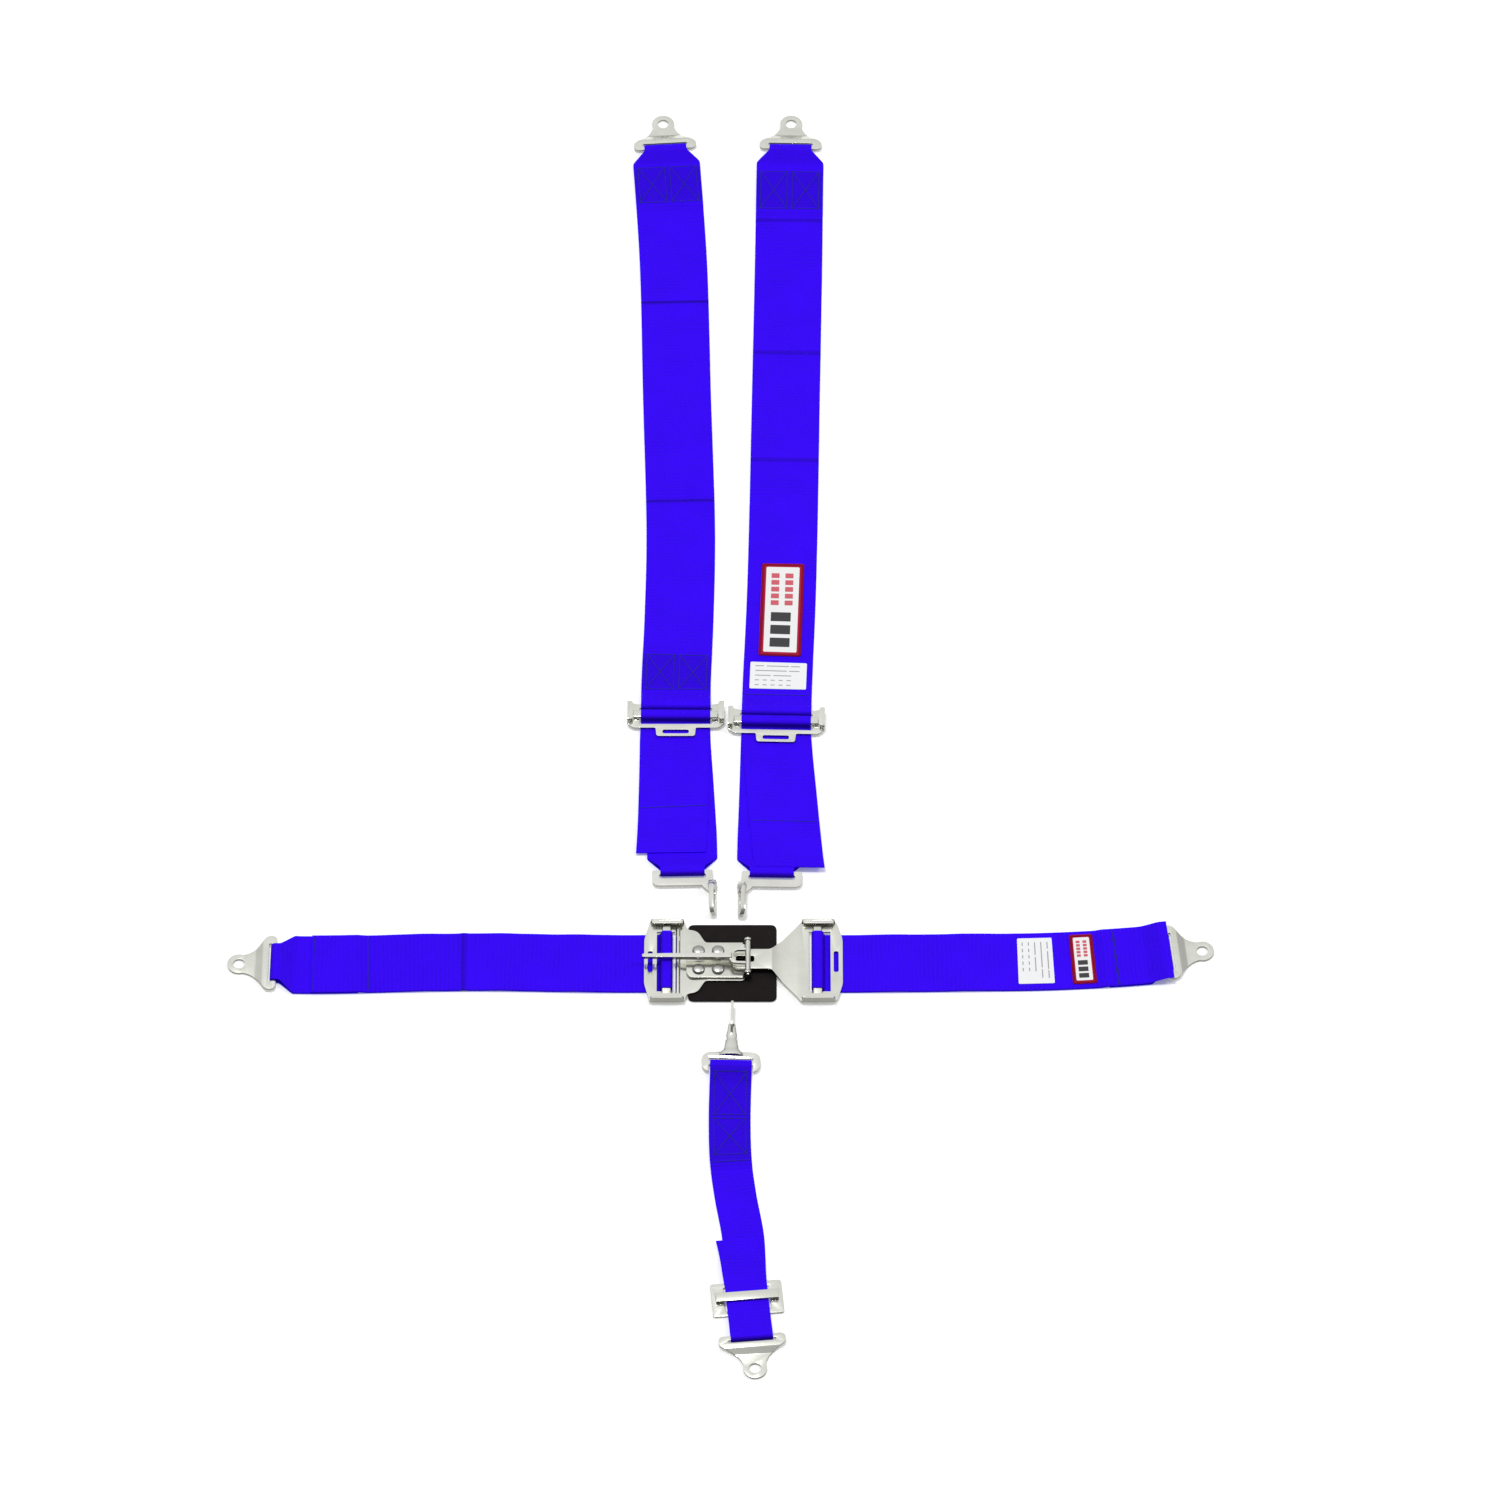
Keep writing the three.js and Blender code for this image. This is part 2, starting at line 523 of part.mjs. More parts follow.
for (const [name, belt] of Object.entries(shoulders)) {
  const upper = new Course(belt.upper);
  const lower = new Course(belt.lower);
  const full = { loopWidth: WIDE };
  const upperStations = [
    ...sewnEnd(upper.length, 1, belt.sewnTop),
    ...sewnEnd(0, -1, belt.sewnBottom, full).toReversed(),
  ];
  put(`shoulder_strap_${name}`, webbing(upper, upperStations), blue);
  put(`shoulder_bracket_${name}`, bracket(), steel, upper.stand(upper.length, BAR_HEIGHT));

  put(`adjuster_frame_${name}`, shoulderAdjuster(), steel, lower.stand(0, BAR_HEIGHT));
  put(`adjuster_slide_bar_${name}`, slideBar(), steel, lower.stand(SHOULDER_SLIDE, SLIDE_HEIGHT));

  const hook = lower.length;
  const overHem = FLOOR + 2 * STEP;
  const tailRise = hook - 68;
  const lean = (distance) => (belt.tailSide * (distance - 30)) / (belt.tailEnd - 30);
  const tail = [[60, FLOOR + STEP], [tailRise - 8, FLOOR + STEP], [tailRise, overHem]];
  const nearHook = belt.tailEnd > hook - 26;
  tail.push(nearHook ? [hook - 26, overHem] : [belt.tailEnd, overHem]);
  if (nearHook) tail.push([belt.tailEnd, overHem + 4]);
  const lowerStations = [
    ...sewnEnd(hook, 1, 60),
    ...slideTurn(SHOULDER_SLIDE, -1),
    ...tail.map(([distance, height]) => [distance, height, lean(distance), WIDE]),
  ];
  put(`lower_strap_${name}`, webbing(lower, lowerStations), blue);
  put(`shoulder_hook_${name}`, shoulderHook(belt.hookSide), steel, lower.stand(hook, BAR_HEIGHT));

  if (name === "right") {
    const sewnSurface = FLOOR + STEP + THICK / 2;
    put("shoulder_label", onStrap(upper, 34, 71, sewnSurface, -0.5, 62), white);
    put("shoulder_patch", onStrap(upper, 81.5, 212, THICK + 1, -1, 47), crimson);
  }
}

// Anti-submarine strap. It is sewn to the fitting, turns round the bracket's bar, and its tail
// comes back through a three-bar slide.
const sub = new Course([
  [11, -471.4], [9.6, -546], [11, -598], [16, -643], [24, -696], [26.5, -753], [33.2, -826.8],
]);
const SLIDE_FROM_END = 51.5;
const slideAt = sub.length - SLIDE_FROM_END;
const subLoop = { loopWidth: NARROW, width: NARROW };
const SLIDE_BASE = 2.4; // thickness of the slide's outer bars
const overBar = SLIDE_BASE + GAP + THICK / 2;

// The fitting that the latch's tongue passes through: an oval plate with a pressed cone, and an
// upright blade with a slot. Behind its bar the plate is cut away between the two round ends.
const SUB_SLOT_X = 60;
const CONE_FLATNESS = 0.36;
function subFitting() {
  const half = BRACKET_THICK / 2;
  const oval = outline([[14.7, -31.7, 12], [-11.3, -31.7, 12], [-11.3, 31.7, 12], [14.7, 31.7, 12]]);
  const profile = [
    [0, 10], [13, 10], [13, 13.5], [9.5, 17], [7.6, 22], [6.8, 30], [5.6, 31.2], [5.4, 34.8], [6, 36],
    [4.4, 46], [3.2, 58], [1.3, 62], [0, 62],
  ].map((point) => new THREE.Vector2(...point));
  const turned = new THREE.LatheGeometry(profile, 20).rotateZ(-Math.PI / 2);
  const cone = solidOf(turned.scale(1, 1, CONE_FLATNESS)).translate([0, 0, 0.5]);
  const foot = -BAR_HEIGHT + 0.2;
  const blade = outline([
    [50, foot, 3], [78.4, foot, 4], [78.4, 10.4, 4], [46, 10.4, 5], [38, 1, 1], [40, -1, 0],
  ]);
  const fitting = joined(plate(oval, -half, half), cone, section(blade, half));
  const behind = block(-13, -BAR / 2, -24, 24, -5, 5);
  const slot = bladeSlot(SUB_SLOT_X + 2, 0, BLADE_LIFT, 22, 0);
  return cut(fitting, behind, slotCutter(BAR / 2, 6.4, 24), slot);
}

function subSlide() {
  const half = bothSides([[-21, -37.5, 3], [21, -37.5, 3]]);
  const base = cut(plate(outline(half), 0, SLIDE_BASE), block(-15, 15, -24, 24, -1, 5));
  const barTop = overBar + STEP + THICK / 2 + GAP + 2.4;
  const post = block(-5.5, 5.5, -33, -25, 0, barTop);
  const bar = block(-5.5, 5.5, -33, 33, barTop - 2.4, barTop);
  return joined(base, post, post.translate([0, 58, 0]), bar);
}

const subStations = [
  ...sewnEnd(0, -1, 126, subLoop),
  [slideAt - 56, FLOOR, 0, NARROW],
  [slideAt - 44, overBar, 0, NARROW],
  [slideAt + 34, overBar, 0, NARROW],
  [slideAt + 43, FLOOR, 0, NARROW],
  ...arc(sub.length, BAR_HEIGHT, LOOP, -90, 90, 0, NARROW, 8),
  [slideAt + 34, overBar + STEP, 0, NARROW],
  [slideAt - 12, overBar + STEP, 0, NARROW],
  [slideAt - 44, overBar + STEP, -3, NARROW],
  [slideAt - 57, FLOOR + STEP, -4.5, NARROW],
  [slideAt - 76, FLOOR + STEP, -7, NARROW],
];
put("sub_strap", webbing(sub, subStations), blue);
put("sub_fitting", subFitting(), steel, sub.stand(0, BAR_HEIGHT, true));
put("sub_slide", subSlide(), steel, sub.stand(slideAt, 0));
put("sub_bracket", bracket(), steel, sub.stand(sub.length, BAR_HEIGHT));

export default harness;
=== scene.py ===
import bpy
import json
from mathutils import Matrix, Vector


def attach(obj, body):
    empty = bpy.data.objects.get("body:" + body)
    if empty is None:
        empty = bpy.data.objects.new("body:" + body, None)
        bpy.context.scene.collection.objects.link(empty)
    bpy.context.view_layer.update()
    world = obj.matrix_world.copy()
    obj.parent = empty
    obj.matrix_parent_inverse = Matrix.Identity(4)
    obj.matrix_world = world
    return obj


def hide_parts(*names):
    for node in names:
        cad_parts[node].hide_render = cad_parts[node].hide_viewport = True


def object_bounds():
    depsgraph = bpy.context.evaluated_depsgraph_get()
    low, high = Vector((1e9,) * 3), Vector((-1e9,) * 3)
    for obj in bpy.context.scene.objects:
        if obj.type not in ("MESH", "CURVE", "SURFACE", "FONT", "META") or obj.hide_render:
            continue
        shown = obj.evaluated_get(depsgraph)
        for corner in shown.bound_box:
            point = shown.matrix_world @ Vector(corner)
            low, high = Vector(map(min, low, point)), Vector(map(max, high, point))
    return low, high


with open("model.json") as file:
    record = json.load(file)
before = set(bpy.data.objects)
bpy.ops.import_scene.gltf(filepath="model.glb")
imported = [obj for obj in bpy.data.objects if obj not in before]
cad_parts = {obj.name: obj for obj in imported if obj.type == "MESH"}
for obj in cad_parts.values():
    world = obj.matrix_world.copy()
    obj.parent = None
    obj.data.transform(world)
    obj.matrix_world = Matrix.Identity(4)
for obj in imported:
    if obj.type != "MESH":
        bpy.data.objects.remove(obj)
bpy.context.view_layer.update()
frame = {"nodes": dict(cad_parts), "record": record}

import json
import math
import bmesh
import bpy
import numpy as np
from mathutils import Vector

# A five-strap racing harness laid flat. Sizes and places along the straps are in millimetres.
mm = 0.001
record = frame["record"]
bodyOf = {node: body for body, nodes in record["behaviour"]["bodies"].items() for node in nodes}
slotOf = {part["node"]: part["material_slot"] for part in record["subparts"]}


def newObject(name, data):
    item = bpy.data.objects.new(name, data)
    bpy.context.scene.collection.objects.link(item)
    return item


# The camera looks down on the harness from the sub strap's end, in metres and degrees. Its aim is a
# little off the middle.
viewSet = {
    "pitch": 52.0, "lens": 257.8, "sensor": 36, "distance": 11.738, "clipEnd": 60,
    "aimX": 0.0314, "aimY": -0.0428,
}
low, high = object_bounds()
middle = (low + high) / 2
aim = Vector((middle.x + viewSet["aimX"], middle.y + viewSet["aimY"], 0))
pitch = math.radians(viewSet["pitch"])
cameraData = bpy.data.cameras.new("camera")
cameraData.lens = viewSet["lens"]
cameraData.sensor_width = viewSet["sensor"]
cameraData.clip_end = viewSet["clipEnd"]
camera = newObject("camera", cameraData)
camera.location = aim + viewSet["distance"] * Vector((0, -math.cos(pitch), math.sin(pitch)))
camera.rotation_euler = (math.pi / 2 - pitch, 0, 0)
bpy.context.scene.camera = camera
print("camera set")


# Short ways to make nodes and join them.
def newMaterial(name):
    material = bpy.data.materials.new(name)
    material.use_nodes = True
    tree = material.node_tree
    return material, tree, tree.nodes["Principled BSDF"]


def setInputs(node, values):
    for key, value in values.items():
        node.inputs[key].default_value = value


def addNode(tree, kind, values=None, **settings):
    node = tree.nodes.new(kind)
    for key, value in settings.items():
        setattr(node, key, value)
    setInputs(node, values or {})
    return node


def mathNode(tree, operation, first, second=None, clamp=False):
    node = addNode(tree, "ShaderNodeMath", operation=operation, use_clamp=clamp)
    for socket, value in zip(node.inputs, (first, second)):
        if value is None:
            continue
        if isinstance(value, (int, float)):
            socket.default_value = value
        else:
            tree.links.new(value, socket)
    return node.outputs[0]


def mixColor(tree, factor, first, second):
    node = addNode(tree, "ShaderNodeMix", data_type="RGBA")
    for socket, value in zip((node.inputs[0], node.inputs[6], node.inputs[7]), (factor, first, second)):
        if isinstance(value, (int, float, tuple)):
            socket.default_value = value
        else:
            tree.links.new(value, socket)
    return node.outputs[2]


def noiseOn(tree, vector, **values):
    noise = addNode(tree, "ShaderNodeTexNoise", values)
    tree.links.new(vector, noise.inputs["Vector"])
    return noise.outputs[0]


def addBump(tree, shader, height, strength, depth):
    bump = addNode(tree, "ShaderNodeBump", {"Strength": strength, "Distance": depth})
    tree.links.new(height, bump.inputs["Height"])
    tree.links.new(bump.outputs[0], shader.inputs["Normal"])


def addSockets(tree, inputs, outputs):
    for label, kind, value in inputs:
        socket = tree.interface.new_socket(label, in_out="INPUT", socket_type=kind)
        if value is not None:
            socket.default_value = value
    for label, kind in outputs:
        tree.interface.new_socket(label, in_out="OUTPUT", socket_type=kind)
    return tree.nodes.new("NodeGroupInput"), tree.nodes.new("NodeGroupOutput")


# Ribbed weave on a strap's own map, in metres: U across and V along.
weaveSet = {
    "rib": 0.0017, "yarn": 0.0021, "band": 0.0047, "ribRise": 0.5, "yarnRise": 0.35,
    "mottleScale": 26.0, "fineScale": 420.0, "wobble": 1.2, "bandFloor": 0.25,
}


def makeWeave():
    tree = bpy.data.node_groups.new("ribbedWeave", "ShaderNodeTree")
    given, out = addSockets(tree, [
        ("Map", "NodeSocketVector", None), ("Rib", "NodeSocketFloat", weaveSet["rib"]),
        ("Yarn", "NodeSocketFloat", weaveSet["yarn"]), ("Band", "NodeSocketFloat", weaveSet["band"]),
    ], [("Height", "NodeSocketFloat"), ("Shade", "NodeSocketFloat"), ("Mottle", "NodeSocketFloat")])
    split = addNode(tree, "ShaderNodeSeparateXYZ")
    tree.links.new(given.outputs["Map"], split.inputs[0])
    across, along = split.outputs[0], split.outputs[1]

    def wave(position, length, offset=None):
        turns = mathNode(tree, "DIVIDE", position, length)
        if offset is not None:
            turns = mathNode(tree, "ADD", turns, offset)
        return mathNode(tree, "SINE", mathNode(tree, "MULTIPLY", turns, 2 * math.pi))

    yarnSide = mathNode(tree, "FLOOR", mathNode(tree, "DIVIDE", across, given.outputs["Yarn"]))
    offset = mathNode(tree, "MULTIPLY", yarnSide, 0.5)  # every other yarn is half a rib on
    ribs = mathNode(tree, "MULTIPLY", wave(along, given.outputs["Rib"], offset), weaveSet["ribRise"])
    yarns = mathNode(tree, "MULTIPLY", wave(across, given.outputs["Yarn"]), weaveSet["yarnRise"])
    tree.links.new(mathNode(tree, "ADD", ribs, yarns), out.inputs["Height"])
    mottle = noiseOn(tree, given.outputs["Map"], Scale=weaveSet["mottleScale"], Detail=3.0)
    fine = noiseOn(tree, given.outputs["Map"], Scale=weaveSet["fineScale"], Detail=2.0)
    bands = wave(along, given.outputs["Band"], mathNode(tree, "MULTIPLY", mottle, weaveSet["wobble"]))
    strength = mathNode(tree, "SUBTRACT", mottle, weaveSet["bandFloor"])
    bands = mathNode(tree, "MULTIPLY", bands, strength)
    shade = mathNode(tree, "ADD", bands, mathNode(tree, "SUBTRACT", fine, 0.5))
    tree.links.new(shade, out.inputs["Shade"])
    tree.links.new(mottle, out.inputs["Mottle"])
    return tree


# Fine dents, handling marks and a cloudy tone for plated steel on Object coordinates, and a mask of
# the faces that stand upright, which are given painted shade.
platingSet = {
    "grain": 900.0, "cloud": 45.0, "markScale": 130.0, "markStretch": (1.0, 9.0, 1.0),
    # The side span picks the upright faces that get painted shade.
    "markTurn": (0, 0, 0.5), "markSpan": (0.56, 0.72), "sideShadeSpan": (0.86, 0.30),
}


def makePlating():
    tree = bpy.data.node_groups.new("platedSteel", "ShaderNodeTree")
    given, out = addSockets(tree, [
        ("Place", "NodeSocketVector", None), ("Facing", "NodeSocketVector", None),
        ("Grain", "NodeSocketFloat", platingSet["grain"]), ("Cloud", "NodeSocketFloat", platingSet["cloud"]),
    ], [(label, "NodeSocketFloat") for label in ("Height", "Cloudiness", "Marks", "SideShade")])
    for size, target in {"Grain": "Height", "Cloud": "Cloudiness"}.items():
        noise = addNode(tree, "ShaderNodeTexNoise", {"Detail": 4.0})
        tree.links.new(given.outputs["Place"], noise.inputs["Vector"])
        tree.links.new(given.outputs[size], noise.inputs["Scale"])
        tree.links.new(noise.outputs[0], out.inputs[target])
    turned = {"Scale": platingSet["markStretch"], "Rotation": platingSet["markTurn"]}
    stretch = addNode(tree, "ShaderNodeMapping", turned)
    tree.links.new(given.outputs["Place"], stretch.inputs["Vector"])
    marks = noiseOn(tree, stretch.outputs[0], Scale=platingSet["markScale"], Detail=5.0, Roughness=0.7)
    split = addNode(tree, "ShaderNodeSeparateXYZ")
    tree.links.new(given.outputs["Facing"], split.inputs[0])
    level = mathNode(tree, "ABSOLUTE", split.outputs[2])
    spans = {"Marks": (marks, *platingSet["markSpan"]), "SideShade": (level, *platingSet["sideShadeSpan"])}
    for target, (source, start, end) in spans.items():
        span = addNode(tree, "ShaderNodeMapRange", {1: start, 2: end})
        tree.links.new(source, span.inputs[0])
        tree.links.new(span.outputs[0], out.inputs[target])
    return tree


weaveGroup = makeWeave()
platingGroup = makePlating()

# Saturated blue webbing, darker where it is sewn, with painted shade at its packing creases and where it
# turns over a bar.
webbingLook = {
    # The darkest blue here is painted shade for folds and turns, and the tone of the darker sewn stretches.
    "lit": (0.040, 0.0, 0.99, 1), "deep": (0.015, 0.0, 0.42, 1), "shadeAndSewnMark": (0.012, 0.0, 0.30, 1),
    "shade": 0.32, "mottle": 0.35, "depth": 0.10, "bump": (0.55, 0.0004), "rough": 0.62, "gloss": 0.05,
}


def webbingMaterial():
    look = webbingLook
    material, tree, shader = newMaterial("blueWebbing")
    place = addNode(tree, "ShaderNodeUVMap", uv_map="strapMap")
    weave = addNode(tree, "ShaderNodeGroup", node_tree=weaveGroup)
    tree.links.new(place.outputs[0], weave.inputs["Map"])
    shade = mathNode(tree, "MULTIPLY", weave.outputs["Shade"], look["shade"])
    mottle = mathNode(tree, "SUBTRACT", weave.outputs["Mottle"], 0.5)
    tone = mathNode(tree, "ADD", shade, mathNode(tree, "MULTIPLY", mottle, look["mottle"]))
    tone = mathNode(tree, "ADD", tone, look["depth"], clamp=True)
    color = mixColor(tree, tone, look["lit"], look["deep"])
    # The strap's mark attribute mixes in that darkest blue: painted shade at folds and turns, and darker sewn
    # stretches.
    shadeAndSewnMark = addNode(tree, "ShaderNodeAttribute", attribute_name="shadeAndSewnMark")
    color = mixColor(tree, shadeAndSewnMark.outputs["Fac"], color, look["shadeAndSewnMark"])
    tree.links.new(color, shader.inputs["Base Color"])
    addBump(tree, shader, weave.outputs["Height"], *look["bump"])
    setInputs(shader, {"Roughness": look["rough"], "Specular IOR Level": look["gloss"]})
    return material


# Plated steel. Clouds and marks darken it a little, and upright faces take the darker side colour as painted
# shade.
steelLook = {
    "side": (0.20, 0.195, 0.17, 1), "darker": 0.80, "cloudFloor": 0.35, "cloudGain": 1.6, "marks": 0.35,
    "sides": 0.85, "cloudRough": 0.22, "markRough": 0.10, "bump": (0.10, 0.0002),
}


def steelMaterial(name, tint, rough, side=steelLook["side"]):
    look = steelLook
    material, tree, shader = newMaterial(name)
    place = addNode(tree, "ShaderNodeTexCoord")
    plating = addNode(tree, "ShaderNodeGroup", node_tree=platingGroup)
    tree.links.new(place.outputs["Object"], plating.inputs["Place"])
    tree.links.new(place.outputs["Normal"], plating.inputs["Facing"])

    def share(output, size):
        return mathNode(tree, "MULTIPLY", plating.outputs[output], size)

    darker = tuple(look["darker"] * value for value in tint[:3]) + (1,)
    clouds = mathNode(tree, "SUBTRACT", plating.outputs["Cloudiness"], look["cloudFloor"])
    clouds = mathNode(tree, "MULTIPLY", clouds, look["cloudGain"], clamp=True)
    color = mixColor(tree, clouds, tint, darker)
    color = mixColor(tree, share("Marks", look["marks"]), color, darker)
    # Painted shade: upright faces are mixed towards the darker side colour.
    color = mixColor(tree, share("SideShade", look["sides"]), color, side)
    tree.links.new(color, shader.inputs["Base Color"])
    roughness = mathNode(tree, "ADD", share("Cloudiness", look["cloudRough"]), rough)
    roughness = mathNode(tree, "ADD", roughness, share("Marks", look["markRough"]))
    tree.links.new(roughness, shader.inputs["Roughness"])
    addBump(tree, shader, plating.outputs["Height"], *look["bump"])
    setInputs(shader, {"Metallic": 1.0})
    return material


# Matt black felt with a fuzzy, slightly clumped surface.
feltLook = {
    "dark": (0.003, 0.0025, 0.003, 1), "light": (0.019, 0.014, 0.014, 1), "fuzz": 700.0, "clumps": 90.0,
    "bump": (0.6, 0.0006), "rough": 0.92, "gloss": 0.12, "sheen": 0.05,
}


def feltMaterial():
    look = feltLook
    material, tree, shader = newMaterial("blackFelt")
    place = addNode(tree, "ShaderNodeTexCoord")
    fuzz = noiseOn(tree, place.outputs["Object"], Scale=look["fuzz"], Detail=5.0, Roughness=0.75)
    clumps = noiseOn(tree, place.outputs["Object"], Scale=look["clumps"], Detail=3.0)
    tone = mathNode(tree, "MULTIPLY", mathNode(tree, "ADD", fuzz, clumps), 0.5)
    tree.links.new(mixColor(tree, tone, look["dark"], look["light"]), shader.inputs["Base Color"])
    addBump(tree, shader, fuzz, *look["bump"])
    setInputs(shader, {"Roughness": look["rough"], "Specular IOR Level": look["gloss"],
                       "Sheen Weight": look["sheen"]})
    return material


# Cloth and thread in two mixed colours.
clothLook = {"scale": 900.0, "rough": 0.75, "gloss": 0.25, "bump": (0.4, 0.0003)}


def clothMaterial(name, color, other, scale=clothLook["scale"], rough=clothLook["rough"]):
    material, tree, shader = newMaterial(name)
    place = addNode(tree, "ShaderNodeTexCoord")
    threads = noiseOn(tree, place.outputs["Object"], Scale=scale, Detail=3.0)
    tree.links.new(mixColor(tree, threads, color, other), shader.inputs["Base Color"])
    addBump(tree, shader, threads, *clothLook["bump"])
    setInputs(shader, {"Roughness": rough, "Specular IOR Level": clothLook["gloss"]})
    return material


finishes = {
    "webbing": webbingMaterial(),
    "steel": steelMaterial("brightPlate", (0.90, 0.90, 0.83, 1), 0.10),
    # The last colour given here is the painted shade on the upright faces.
    "brightSteel": steelMaterial("polishedPlate", (0.96, 0.95, 0.90, 1), 0.05, (0.26, 0.25, 0.22, 1)),
    "rivetSteel": steelMaterial("dullPlate", (0.50, 0.50, 0.48, 1), 0.26, (0.12, 0.12, 0.11, 1)),
    "felt": feltMaterial(),
    "thread": clothMaterial("darkThread", (0.012, 0.014, 0.16, 1), (0.022, 0.03, 0.24, 1)),
    "labelCloth": clothMaterial("whiteLabel", (0.80, 0.80, 0.82, 1), (0.92, 0.92, 0.93, 1), 1400.0, 0.6),
    "labelInk": clothMaterial("greyPrint", (0.28, 0.28, 0.30, 1), (0.42, 0.42, 0.44, 1)),
    "patchRed": clothMaterial("crimsonThread", (0.32, 0.002, 0.028, 1), (0.50, 0.008, 0.06, 1), 1600.0),
    "patchPink": clothMaterial("pinkThread", (0.50, 0.03, 0.06, 1), (0.75, 0.20, 0.24, 1), 1600.0),
    "patchWhite": clothMaterial("whiteTwill", (0.78, 0.78, 0.79, 1), (0.90, 0.90, 0.90, 1), 1200.0),
    "patchDark": clothMaterial("charcoalThread", (0.03, 0.03, 0.035, 1), (0.07, 0.07, 0.075, 1), 1600.0),
}
print("materials made")


# Short ways to make, smooth and finish a mesh.
def smooth(piece, angle):
    piece.data.polygons.foreach_set("use_smooth", [True] * len(piece.data.polygons))
    piece.data.set_sharp_from_angle(angle=math.radians(angle))
    piece.data.update()


def meshPiece(name, points, faces, material):
    mesh = bpy.data.meshes.new(name)
    mesh.from_pydata([tuple(p) for p in points], [], faces)
    mesh.materials.append(material)
    mesh.validate()
    return newObject(name, mesh)


def facesOutward(mesh):
    work = bmesh.new()
    work.from_mesh(mesh)
    bmesh.ops.recalc_face_normals(work, faces=work.faces)
    work.to_mesh(mesh)
    work.free()


def bake(piece):
    graph = bpy.context.evaluated_depsgraph_get()
    mesh = bpy.data.meshes.new_from_object(piece.evaluated_get(graph))
    old = piece.data
    piece.modifiers.clear()
    piece.data = mesh
    bpy.data.meshes.remove(old)


def dress(piece, node, stands=True):
    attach(piece, bodyOf[node])
    if stands:
        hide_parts(node)
    return piece


# Webbing lies on the floor in layers, and turns over bars. A loop's size is its radius at mid-thickness.
webSet = {
    "wide": 76.2, "narrow": 44.5, "folded": 48.0, "thick": 1.3, "selvedge": 1.3, "edgeShare": 0.35,
    "columns": 18, "columnEase": 1.6, "gap": 0.3, "loop": 3.75,
    "slideWide": 10.0, "slideThick": 3.5, "slideHeight": 7.65, "slideRise": 4,
    # The turn values size the painted shade where the webbing turns round a bar, and the crease width sizes
    # the painted shade across a fold.
    "sewnTone": 0.32, "sewnFade": 8, "turnShadeStrength": 0.75, "turnPower": 1.5,
    "foldShadeWide": 1.6, "ridgeWide": 3.5, "ridge": 0.9,
}
wide, narrow = webSet["wide"], webSet["narrow"]
floorLayer = webSet["thick"] / 2
layerStep = webSet["thick"] + webSet["gap"]
layers = [floorLayer + k * layerStep for k in range(3)]
barHeight = floorLayer + webSet["loop"]
wrapRadius = webSet["slideThick"] / 2 + webSet["gap"] + webSet["thick"] / 2


# A smooth line through the points, and straight past both of its ends.
def course(points, samples=60):
    given = [np.array(p, float) for p in points]
    padded = [2 * given[0] - given[1], *given, 2 * given[-1] - given[-2]]
    line = []
    for i in range(1, len(padded) - 2):
        a, b, c, d = padded[i - 1:i + 3]
        ab, bc, cd = (max(np.linalg.norm(q - p) ** 0.5, 1e-4) for p, q in ((a, b), (b, c), (c, d)))
        start = bc * ((b - a) / ab - (c - a) / (ab + bc) + (c - b) / bc)
        end = bc * ((c - b) / bc - (d - b) / (bc + cd) + (d - c) / cd)
        for t in np.arange(samples) / samples:
            cube = 2 * t ** 3 - 3 * t ** 2
            leaving = (t ** 3 - 2 * t ** 2 + t) * start
            arriving = (t ** 3 - t ** 2) * end
            line.append((cube + 1) * b + leaving - cube * c + arriving)
    line.append(given[-1])
    line = np.array(line)
    steps = np.linalg.norm(np.diff(line, axis=0), axis=1)
    return {"line": line, "at": np.concatenate([[0], np.cumsum(steps)]), "length": float(steps.sum())}


def courseAt(way, distance, reach=2):
    def placeAt(s):
        return np.array([np.interp(s, way["at"], way["line"][:, k]) for k in range(2)])

    inside = min(max(distance, 0.0), way["length"])
    back, on = placeAt(max(inside - reach, 0)), placeAt(min(inside + reach, way["length"]))
    ahead = (on - back) / np.linalg.norm(on - back)
    return placeAt(inside) + ahead * (distance - inside), ahead


# A point beside the course, to the left of its direction.
def besideCourse(way, distance, offset):
    place, ahead = courseAt(way, distance)
    return place + np.array([-ahead[1], ahead[0]]) * offset


# Stations along a strap are [distance, height, offset, width].
def arc(distance, height, radius, start, end, width, steps=14):
    angles = np.radians(np.linspace(start, end, steps + 1))
    return [[distance + radius * math.cos(a), height + radius * math.sin(a), 0, width] for a in angles]


# Webbing taken round a bar at the loop's own width, and sewn back onto itself.
sewnSet = {"gather": 21, "neck": 6, "crown": 3.4, "settle": 0.6, "flat": 25, "overlap": 2, "tail": 10}


def sewnEnd(bar, way, sewn, loopWidth=webSet["folded"], width=wide):
    turn = (-90, 90) if way > 0 else (270, 90)
    lower, upper = floorLayer, floorLayer + layerStep
    return [
        [bar - way * sewn, lower, 0, width],
        [bar - way * sewnSet["gather"], lower, 0, width],
        [bar - way * sewnSet["neck"], lower, 0, loopWidth],
        *arc(bar, barHeight, webSet["loop"], *turn, loopWidth),
        [bar - way * sewnSet["neck"], barHeight + sewnSet["crown"], 0, loopWidth],
        [bar - way * sewnSet["gather"], upper + sewnSet["settle"], 0, width],
        [bar - way * sewnSet["flat"], upper, 0, width],
        [bar - way * (sewn + sewnSet["overlap"]), upper, 0, width],
        [bar - way * (sewn + sewnSet["tail"]), lower, 0, width],
    ]


